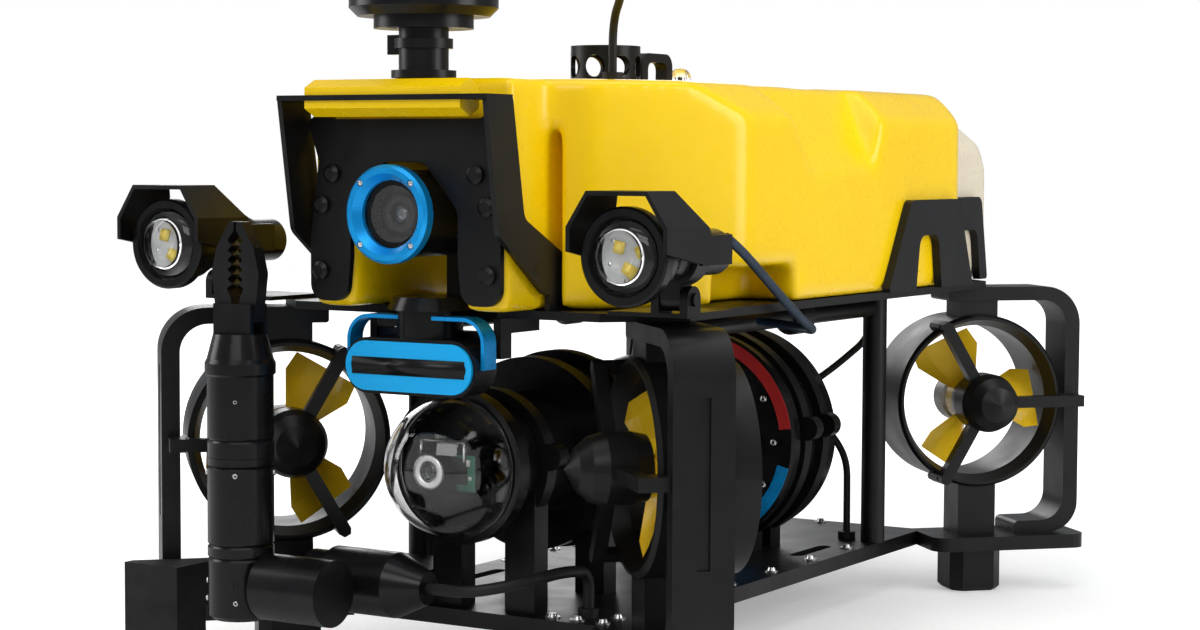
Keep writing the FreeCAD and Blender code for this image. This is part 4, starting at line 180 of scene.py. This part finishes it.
MATERIALS = {
    "float_yellow": gloss_shell("FloatYellow", (0.93, 0.60, 0.0), (0.95, 0.63, 0.002)),
    "stern_cream": gloss_shell("SternCream", (0.74, 0.66, 0.50), (0.78, 0.70, 0.54)),
    "frame_black": black_plastic("FrameBlack", (0.0045, 0.0045, 0.0048), 0.30, 0.42),
    "metal_black": black_plastic("MetalBlack", (0.005, 0.005, 0.0055), 0.26, 0.38),
    "housing_black": black_plastic("HousingBlack", (0.0045, 0.0045, 0.005), 0.18, 0.30),
    "anodised_blue": anodised("AnodisedBlue", (0.001, 0.33, 0.80), 0.24, 0.36, 0.55),
    "clear": clear_plastic("ClearDome"),
    "emitter": black_plastic("EmitterBoard", (0.45, 0.46, 0.46), 0.25, 0.4),
    "propeller_yellow": gloss_shell("PropellerYellow", (0.85, 0.52, 0.01), (0.90, 0.58, 0.02)),
    "tail_grey": black_plastic("TailGrey", (0.42, 0.42, 0.40), 0.3, 0.45),
    "steel": anodised("Steel", (0.55, 0.55, 0.54), 0.2, 0.35, 1.0),
    "foam_black": black_plastic("FoamBlack", (0.012, 0.012, 0.012), 0.75, 0.95),
    "cable_black": black_plastic("CableBlack", (0.009, 0.009, 0.009), 0.4, 0.55),
}
LENS_GLASS = clear_plastic("LensGlass", 0.0, (0.9, 0.95, 1.0), 1.5)
LED_YELLOW = Shader("LedYellow", (0.95, 0.70, 0.05), 0.35).vary_colour(
    400, (0.95, 0.66, 0.03), (1.0, 0.80, 0.15)).material
SONAR_BLUE = gloss_shell("SonarBlue", (0.001, 0.42, 0.90), (0.001, 0.45, 0.94))
CABLE_BLUE = black_plastic("CableBlue", (0.010, 0.022, 0.040), 0.35, 0.5)
BOARD_GREEN = black_plastic("BoardGreen", (0.02, 0.10, 0.06), 0.3, 0.45)
BAND_RED = anodised("BandRed", (0.55, 0.02, 0.02), 0.3, 0.4, 0.4)
DEEP_BLACK = Shader("DeepBlack", (0.004, 0.004, 0.004), 0.2).vary_roughness(80, 0.12, 0.3).material


def dress_nodes():
    for entry in frame["record"]["subparts"]:
        node = nodes[entry["node"]]
        for place in node.material_slots:
            place.material = MATERIALS[entry["material_slot"]]


# The nodes whose edges are rounded, and the radius of each.
EDGE_RADII = (
    ("base_plate", 0.0022), ("front_guards", 0.005), ("rear_guards", 0.005), ("float_clips", 0.0025),
    ("bumper_bar", 0.0012), ("trim_block", 0.002), ("arm_plinth", 0.002), ("camera_plate", 0.0008),
    ("bumper_strap", 0.0008), ("top_frame", 0.001), ("port_light_hood", 0.0012),
    ("starboard_light_hood", 0.0012), ("skid_feet", 0.0015))


def soften(name, width, segments=3, angle=28):
    """Rounds a node's edges as moulding or machining does."""
    node = nodes[name]
    bevel = node.modifiers.new("Edges", "BEVEL")
    bevel.width = width
    bevel.segments = segments
    bevel.limit_method = "ANGLE"
    bevel.angle_limit = math.radians(angle)
    bevel.harden_normals = True
    return node


# ---------------------------------------------------------------- pieces

def middle(name):
    low, high = (Vector(corner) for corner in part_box(name))
    return (low + high) / 2


def finish_mesh(mesh_builder, name, material, body, smooth=True):
    mesh = bpy.data.meshes.new(name)
    mesh_builder.to_mesh(mesh)
    mesh_builder.free()
    for face in mesh.polygons:
        face.use_smooth = smooth
    piece = bpy.data.objects.new(name, mesh)
    bpy.context.scene.collection.objects.link(piece)
    piece.data.materials.append(material)
    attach(piece, body)
    return piece


def turned(profile, centre, direction, count=48):
    """A turned mesh: profile is (radius, height) pairs along the direction from the centre."""
    builder = bmesh.new()
    turn = Vector((0, 0, 1)).rotation_difference(Vector(direction)).to_matrix().to_4x4()
    place = Matrix.Translation(centre) @ turn
    rings = []
    for radius, height in profile:
        if radius < 1e-7:
            rings.append([builder.verts.new(place @ Vector((0, 0, height)))])
            continue
        ring = []
        for step in range(count):
            angle = 2 * math.pi * step / count
            spot = Vector((radius * math.cos(angle), radius * math.sin(angle), height))
            ring.append(builder.verts.new(place @ spot))
        rings.append(ring)
    for first, second in zip(rings, rings[1:]):
        for step in range(count):
            after = (step + 1) % count
            if len(first) == 1:
                builder.faces.new((first[0], second[after], second[step]))
            elif len(second) == 1:
                builder.faces.new((first[step], first[after], second[0]))
            else:
                builder.faces.new((first[step], first[after], second[after], second[step]))
    bmesh.ops.recalc_face_normals(builder, faces=builder.faces)
    return builder


def make_camera():
    """Camera at three-quarter view from the port bow."""
    data = bpy.data.cameras.new("Camera")
    data.sensor_width = SENSOR_WIDTH_MM
    data.lens = FOCAL_LENGTH_MM
    data.clip_end = 50.0
    camera = bpy.data.objects.new("Camera", data)
    bpy.context.scene.collection.objects.link(camera)
    forward = Vector(CAMERA_AIM).normalized()
    right = forward.cross(Vector((0, 0, 1))).normalized()
    up = right.cross(forward)
    turn = Matrix((right, up, -forward)).transposed().to_4x4()
    roll = Matrix.Rotation(math.radians(CAMERA_ROLL), 4, "Z")
    camera.matrix_world = Matrix.Translation(CAMERA_PLACE) @ turn @ roll
    bpy.context.scene.camera = camera


def area_light(name, place, target, wide, tall, power):
    data = bpy.data.lights.new(name, "AREA")
    data.shape = "RECTANGLE"
    data.size = wide
    data.size_y = tall
    data.energy = power
    light = bpy.data.objects.new(name, data)
    bpy.context.scene.collection.objects.link(light)
    light.location = place
    aim = Vector(target) - Vector(place)
    light.rotation_euler = aim.to_track_quat("-Z", "Y").to_euler()
    return light


# Plan position of the arm's upright tube.
ARM_AXIS = (-0.156, -0.4889)


def make_studio():
    """White surroundings, a pale floor and large soft lights."""
    world = bpy.data.worlds.new("World")
    bpy.context.scene.world = world
    world.use_nodes = True
    tree = world.node_tree
    background = tree.nodes["Background"]
    background.inputs["Color"].default_value = (0.9, 0.92, 0.95, 1)
    background.inputs["Strength"].default_value = 0.35
    seen = tree.nodes.new("ShaderNodeBackground")
    seen.inputs["Color"].default_value = (1, 1, 1, 1)
    seen.inputs["Strength"].default_value = 1.0
    path = tree.nodes.new("ShaderNodeLightPath")
    either = tree.nodes.new("ShaderNodeMath")
    either.operation = "MAXIMUM"
    tree.links.new(path.outputs["Is Camera Ray"], either.inputs[0])
    tree.links.new(path.outputs["Is Transmission Ray"], either.inputs[1])
    mix = tree.nodes.new("ShaderNodeMixShader")
    tree.links.new(either.outputs[0], mix.inputs["Fac"])
    tree.links.new(background.outputs[0], mix.inputs[1])
    tree.links.new(seen.outputs[0], mix.inputs[2])
    tree.links.new(mix.outputs[0], tree.nodes["World Output"].inputs["Surface"])

    builder = bmesh.new()
    bmesh.ops.create_grid(builder, x_segments=1, y_segments=1, size=6.0)
    mesh = bpy.data.meshes.new("Floor")
    builder.to_mesh(mesh)
    builder.free()
    floor = bpy.data.objects.new("Floor", mesh)
    bpy.context.scene.collection.objects.link(floor)
    floor.location = (0, 0, -FLOOR_DROP)
    paint = Shader("FloorPaint", (0.86, 0.86, 0.86), 0.7).vary_roughness(3, 0.6, 0.8)
    shine = paint.add("ShaderNodeEmission")
    shine.inputs["Color"].default_value = (1, 1, 1, 1)
    links = paint.tree.links
    reach = paint.add("ShaderNodeVectorMath", operation="LENGTH")
    links.new(paint.place, reach.inputs[0])
    links.new(paint.spread(reach.outputs["Value"], 0.30, 1.0, 0.7, 2.2), shine.inputs["Strength"])
    glow = paint.add("ShaderNodeLightPath")
    total = paint.add("ShaderNodeAddShader")
    blend = paint.add("ShaderNodeMixShader")
    links.new(paint.shader.outputs[0], total.inputs[0])
    links.new(shine.outputs[0], total.inputs[1])
    links.new(glow.outputs["Is Camera Ray"], blend.inputs["Fac"])
    links.new(paint.shader.outputs[0], blend.inputs[1])
    links.new(total.outputs[0], blend.inputs[2])
    links.new(blend.outputs[0], paint.tree.nodes["Material Output"].inputs["Surface"])
    mesh.materials.append(paint.material)

    area_light("TopSoft", (0.2, -0.4, 2.6), (0, 0, 0.3), 2.6, 2.6, 34)
    area_light("FrontLeft", (-2.7, -1.3, 1.4), (0, -0.2, 0.35), 1.4, 2.0, 34)
    area_light("PortSide", (2.8, 0.3, 1.3), (0, 0, 0.35), 1.4, 2.2, 42)
    area_light("BackRim", (-1.8, 2.2, 1.2), (0, 0, 0.4), 1.6, 1.2, 16)
    area_light("FrontFill", (0.9, -3.0, 2.2), (0, -0.2, 0.35), 2.0, 1.2, 26)


# Each emitter of a light: its place across and up from the board's middle, and its turn in degrees.
LED_SPOTS = ((-0.009, 0.007, 12), (0.010, 0.004, -20), (-0.001, -0.010, 30))


def make_light_faces():
    """LED boards, their screws and the windows of the two lights."""
    for side in ("port", "starboard"):
        body = side + "_light"
        board = middle(side + "_light_emitter")
        low = Vector(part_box(side + "_light_emitter")[0])
        face = Vector((board.x, low.y, board.z))
        for number, (across, up, turn) in enumerate(LED_SPOTS):
            builder = bmesh.new()
            bmesh.ops.create_cube(builder, size=1.0)
            place = (Matrix.Translation(face + Vector((across, -0.0009, up)))
                     @ Matrix.Rotation(math.radians(turn), 4, "Y")
                     @ Matrix.Diagonal((0.0095, 0.0024, 0.0095, 1)))
            builder.transform(place)
            bmesh.ops.bevel(builder, geom=builder.edges[:], offset=0.0006, segments=2, affect="EDGES")
            finish_mesh(builder, "%s_led_%d" % (side, number), LED_YELLOW, body)
        for number in range(6):
            angle = math.radians(60 * number + 20)
            spot = face + Vector((0.018 * math.cos(angle), 0, 0.018 * math.sin(angle)))
            head = turned([(0, 0.0012), (0.0016, 0.0011), (0.0019, 0.0004), (0.0019, 0)], spot, FORWARD, 16)
            finish_mesh(head, "%s_board_screw_%d" % (side, number), MATERIALS["steel"], body)
        ring_low = Vector(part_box(side + "_light_body")[0])
        pane = Vector((board.x, ring_low.y + 0.0045, board.z))
        glass = turned([(0, 0.0028), (0.016, 0.0024), (0.0305, 0.0012), (0.0305, -0.0012), (0, -0.0012)],
                       pane, FORWARD)
        finish_mesh(glass, side + "_light_window", MATERIALS["clear"], body)


def make_camera_details():
    """Lens group, iris and glass behind the bow camera's window, and its bezel screws."""
    bezel_low, bezel_high = (Vector(corner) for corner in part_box("main_camera_bezel"))
    centre = (bezel_low + bezel_high) / 2
    front = bezel_low.y
    for number in range(4):
        angle = math.radians(45 + 90 * number)
        spot = Vector((centre.x + BEZEL_SCREW_CIRCLE * math.cos(angle), front + 0.0035,
                       centre.z + BEZEL_SCREW_CIRCLE * math.sin(angle)))
        head = turned([(0, 0.0018), (0.0009, 0.0018), (0.0012, 0.0030), (0.0022, 0.0032), (0.0026, 0.0026),
                       (0.0026, 0)], spot, FORWARD, 20)
        finish_mesh(head, "bezel_screw_%d" % number, MATERIALS["steel"], "vehicle")
    lens = Vector((centre.x, front + 0.034, centre.z))
    ring = turned([(0.0095, -0.004), (0.0095, 0.010), (0.0115, 0.0115), (0.0175, 0.0115), (0.0185, 0.0100),
                   (0.0185, -0.004)], lens, FORWARD)
    finish_mesh(ring, "lens_ring", MATERIALS["metal_black"], "vehicle")
    glass = turned([(0, 0.0092), (0.004, 0.0086), (0.0075, 0.0064), (0.0094, 0.0040), (0.0094, 0.001),
                    (0, 0.001)], lens, FORWARD)
    finish_mesh(glass, "lens_glass", LENS_GLASS, "vehicle")
    iris = turned([(0, 0.0), (0.0093, 0.0), (0.0093, -0.003), (0, -0.003)], lens, FORWARD, 24)
    finish_mesh(iris, "lens_iris", DEEP_BLACK, "vehicle")


def moulded(node_name, piece_name, slot):
    """A moulded skin in place of a node: its shape remeshed evenly and its edges eased."""
    piece = bpy.data.objects.new(piece_name, nodes[node_name].data.copy())
    bpy.context.scene.collection.objects.link(piece)
    piece.data.materials.clear()
    skin = piece.modifiers.new("Skin", "REMESH")
    skin.mode = "VOXEL"
    skin.voxel_size = SKIN_VOXEL
    ease = piece.modifiers.new("Ease", "SMOOTH")
    ease.factor = 0.5
    ease.iterations = SKIN_ROUNDS
    bpy.context.view_layer.update()
    mesh = bpy.data.meshes.new_from_object(piece.evaluated_get(bpy.context.evaluated_depsgraph_get()))
    piece.modifiers.clear()
    piece.data = mesh
    for face in mesh.polygons:
        face.use_smooth = True
    mesh.materials.append(MATERIALS[slot])
    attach(piece, "vehicle")
    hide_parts(node_name)
    return piece


def slab(name, centre, size, material, body, bevel=0.0008):
    """A small plate or block with eased edges."""
    builder = bmesh.new()
    bmesh.ops.create_cube(builder, size=1.0)
    place = Matrix.Translation(centre) @ Matrix.Diagonal((*size, 1))
    builder.transform(place)
    bmesh.ops.bevel(builder, geom=builder.edges[:], offset=bevel, segments=3, affect="EDGES")
    return finish_mesh(builder, name, material, body)


def pan_head(name, spot, direction, radius, body):
    """Stainless pan head with a small hexagon socket, whose floor is a deep black disc: painted shade in the
    recess.
    """
    tall = radius * 0.8
    head = turned([(radius * 0.4, tall * 0.4), (radius * 0.45, tall), (radius * 0.8, tall * 0.9),
                   (radius, tall * 0.45), (radius, -tall * 0.3)], spot, direction, 20)
    finish_mesh(head, name, MATERIALS["steel"], body)
    # The socket's floor is painted deep black as shade in the recess of the head, not as the steel's own colour.
    socket = turned([(0, tall * 0.3), (radius * 0.47, tall * 0.45), (radius * 0.47, 0), (0, 0)],
                    spot, direction, 12)
    finish_mesh(socket, name + "_socket", DEEP_BLACK, body)


# Each chip on the dome camera's board: its place across and up from the dome's middle, its width and its height.
DOME_CHIPS = ((0.022, 0.006, 0.007, 0.007), (0.031, 0.008, 0.004, 0.006),
              (0.024, -0.008, 0.009, 0.005), (0.033, -0.006, 0.003, 0.003))


def make_dome():
    """Clear dome over the tilting camera, and the camera's lens, board and bracket inside it."""
    low, high = (Vector(corner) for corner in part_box("camera_dome"))
    radius = (high.x - low.x) / 2
    centre = Vector(((low.x + high.x) / 2, low.y + radius, (low.z + high.z) / 2))
    back = high.y - centre.y
    outer, inner = [], []
    first_outer = -math.asin(min(1.0, back / radius))
    for step in range(DOME_STEPS + 1):
        angle = first_outer + (math.pi / 2 - first_outer) * step / DOME_STEPS
        around = max(0.0, radius * math.cos(angle)) if step < DOME_STEPS else 0.0
        outer.append((around, radius * math.sin(angle)))
    small = radius - DOME_WALL
    first_inner = -math.asin(min(1.0, back / small))
    for step in range(DOME_STEPS + 1):
        angle = math.pi / 2 + (first_inner - math.pi / 2) * step / DOME_STEPS
        inner.append((small * math.cos(angle) if step else 0.0, small * math.sin(angle)))
    shell = turned(inner + outer, centre, FORWARD, 96)
    dome = finish_mesh(shell, "dome_glass", MATERIALS["clear"], "vehicle")
    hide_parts("camera_dome")

    face_low, face_high = (Vector(corner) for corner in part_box("dome_tilt_camera"))
    lens = Vector((centre.x, face_low.y, centre.z))
    ring = turned([(0.0090, -0.001), (0.0090, 0.002), (0.0105, 0.0032), (0.0150, 0.0032), (0.0165, 0.0020),
                   (0.0165, -0.001)], lens, FORWARD)
    finish_mesh(ring, "dome_lens_ring", MATERIALS["steel"], "tilt_camera")
    eye = turned([(0, 0.0024), (0.005, 0.0020), (0.0088, 0.0006), (0.0088, -0.0006), (0, -0.0006)],
                 lens, FORWARD)
    finish_mesh(eye, "dome_lens_glass", LENS_GLASS, "tilt_camera")
    white = MATERIALS["tail_grey"]
    slab("dome_board", Vector((centre.x + 0.027, centre.y - 0.022, centre.z - 0.002)), (0.022, 0.0016, 0.034),
         BOARD_GREEN, "tilt_camera")
    for number, (across, up, wide, tall) in enumerate(DOME_CHIPS):
        spot = Vector((centre.x + across, centre.y - 0.0238, centre.z + up))
        slab("dome_chip_%d" % number, spot, (wide, 0.002, tall),
             DEEP_BLACK if number % 2 == 0 else white, "tilt_camera", 0.0003)
    slab("dome_bracket_top", Vector((centre.x + 0.004, centre.y - 0.024, centre.z + 0.027)),
         (0.050, 0.010, 0.0016), MATERIALS["steel"], "tilt_camera")
    for number, side in enumerate((-1, 1)):
        spot = Vector((centre.x + 0.004 + side * 0.0242, centre.y - 0.024, centre.z + 0.018))
        slab("dome_bracket_leg_%d" % number, spot, (0.0014, 0.008, 0.018), MATERIALS["steel"],
             "tilt_camera", 0.0004)


def make_sonar_window():
    """Black acoustic window let into the sonar's blue face."""
    low, high = (Vector(corner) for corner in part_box("sonar_face"))
    centre = Vector(((low.x + high.x) / 2, low.y + 0.0012, (low.z + high.z) / 2))
    slab("sonar_window", centre, (0.91 * (high.x - low.x), 0.0036, 0.40 * (high.z - low.z)),
         MATERIALS["housing_black"], "sonar", 0.0012)
    for place in nodes["sonar_face"].material_slots:
        place.material = SONAR_BLUE


def cable_line(name, points, radius, material):
    """A cable's tube along one smooth line, as a mesh, and the points that it follows."""
    curve = bpy.data.curves.new(name + "_line", "CURVE")
    curve.dimensions = "3D"
    curve.resolution_u = 8
    spline = curve.splines.new("NURBS")
    spline.points.add(len(points) - 1)
    for place, point in zip(spline.points, points):
        place.co = (*point, 1)
    spline.order_u = 3
    spline.use_endpoint_u = True
    line = bpy.data.objects.new(name + "_line", curve)
    bpy.context.scene.collection.objects.link(line)
    bpy.context.view_layer.update()
    depsgraph = bpy.context.evaluated_depsgraph_get()
    bare = bpy.data.meshes.new_from_object(line.evaluated_get(depsgraph))
    path = [vertex.co.copy() for vertex in bare.vertices]
    curve.bevel_depth = radius
    curve.bevel_resolution = 5
    curve.use_fill_caps = True
    bpy.context.view_layer.update()
    mesh = bpy.data.meshes.new_from_object(line.evaluated_get(bpy.context.evaluated_depsgraph_get()))
    bpy.data.objects.remove(line)
    for face in mesh.polygons:
        face.use_smooth = True
    mesh.materials.clear()
    mesh.materials.append(material)
    piece = bpy.data.objects.new(name, mesh)
    bpy.context.scene.collection.objects.link(piece)
    return piece, path


def make_light_cable():
    """Blue-grey cable from behind the port light, past the float's side and in under the frame."""
    route = [(0.253, -0.296, 0.430), (0.252, -0.270, 0.420), (0.249, -0.225, 0.398), (0.247, -0.170, 0.368),
             (0.245, -0.120, 0.343), (0.238, -0.082, 0.332), (0.218, -0.058, 0.331), (0.188, -0.048, 0.334),
             (0.157, -0.046, 0.3365)]
    piece, path = cable_line("port_light_cable", route, LIGHT_CABLE_RADIUS, CABLE_BLUE)
    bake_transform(piece)


def arc_band(name, centre, inner, outer, start, stop, thick, material):
    """Flat ring segment facing forward, between two angles in degrees measured up from port."""
    builder = bmesh.new()
    steps = max(4, int(abs(stop - start) / 4))
    rows = []
    for step in range(steps + 1):
        angle = math.radians(start + (stop - start) * step / steps)
        spoke = Vector((math.cos(angle), 0, math.sin(angle)))
        rows.append([builder.verts.new(centre + spoke * radius + Vector((0, depth, 0)))
                     for radius, depth in ((inner, 0), (outer, 0), (outer, -thick), (inner, -thick))])
    for first, second in zip(rows, rows[1:]):
        for corner in range(4):
            after = (corner + 1) % 4
            builder.faces.new((first[corner], first[after], second[after], second[corner]))
    builder.faces.new(rows[0])
    builder.faces.new(list(reversed(rows[-1])))
    bmesh.ops.recalc_face_normals(builder, faces=builder.faces)
    return finish_mesh(builder, name, material, "vehicle", smooth=False)


def make_beacon():
    """Clear ribbed globe of the strobe on its black base, with the flash tube inside."""
    low, high = (Vector(corner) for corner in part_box("beacon"))
    foot = Vector(((low.x + high.x) / 2, (low.y + high.y) / 2, low.z))
    tall = min(high.z - low.z, 0.030)
    profile = [(0, 0.002), (0.0085, 0.002), (0.0095, 0.004)]
    for step in range(1, 12):
        angle = math.radians(-60 + 150 * step / 12)
        profile.append((0.0118 * math.cos(angle), 0.013 + (tall - 0.0135) * 0.75 * math.sin(angle)))
    profile.append((0, 0.013 + (tall - 0.0135) * 0.75))
    builder = turned(profile, foot, (0, 0, 1), 36)
    for number, vertex in enumerate(builder.verts):
        away = Vector((vertex.co.x - foot.x, vertex.co.y - foot.y, 0))
        if away.length > 0.004 and round(math.degrees(math.atan2(away.y, away.x))) % 20 == 0:
            vertex.co += away.normalized() * 0.0006
    globe = finish_mesh(builder, "beacon_globe", MATERIALS["clear"], "vehicle", smooth=False)
    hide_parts("beacon")
    tube = turned([(0, 0.0), (0.0095, 0.0), (0.0095, 0.0035), (0.0030, 0.0038), (0.0030, 0.014), (0, 0.015)], foot,
                  (0, 0, 1), 24)
    finish_mesh(tube, "beacon_tube", MATERIALS["housing_black"], "vehicle")


def make_pod_trim():
    """Coloured bands and bolts on the front ring of the electronics housing."""
    low, high = (Vector(corner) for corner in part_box("electronics_pod"))
    radius = (high.x - low.x) / 2
    face = Vector(((low.x + high.x) / 2, low.y, (low.z + high.z) / 2))
    arc_band("pod_band_red", face, radius * 0.86, radius * 0.975, 8, 82, 0.0008, BAND_RED)
    arc_band("pod_band_blue", face, radius * 0.86, radius * 0.975, -80, -14, 0.0008, MATERIALS["anodised_blue"])
    for number in range(12):
        angle = math.radians(30 * number)
        spot = face + Vector((math.cos(angle), 0, math.sin(angle))) * radius * 0.80 + Vector((0, -0.0006, 0))
        pan_head("pod_ring_screw_%d" % number, spot, FORWARD, 0.0042, "vehicle")


def make_arm_screws():
    """Small screws round the joints of the arm's tubes."""
    for node, body, share in (("arm_elbow", "elbow_link", 0.55), ("arm_forearm", "forearm", 0.12),
                              ("arm_forearm", "forearm", 0.90), ("arm_wrist", "wrist", 0.45)):
        low, high = (Vector(corner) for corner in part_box(node))
        axis_x, axis_y = ARM_AXIS
        reach = min(axis_x - low.x, axis_y - low.y, 0.031) if node != "arm_wrist" else 0.029
        height = low.z + (high.z - low.z) * share
        for number, angle in enumerate((-150, -60, 30, 120)):
            out = Vector((math.cos(math.radians(angle)), math.sin(math.radians(angle)), 0))
            spot = Vector((axis_x, axis_y, height)) + out * reach
            pan_head("%s_screw_%d_%d" % (node, int(share * 100), number), spot, out, 0.0026, body)


dress_nodes()
for block, radius in EDGE_RADII:
    soften(block, radius)
make_camera()
make_studio()
make_light_faces()
make_camera_details()
moulded("float_block", "float_shell", "float_yellow")
moulded("stern_float", "stern_shell", "stern_cream")
make_dome()
make_sonar_window()
make_light_cable()
make_beacon()
make_pod_trim()
make_arm_screws()
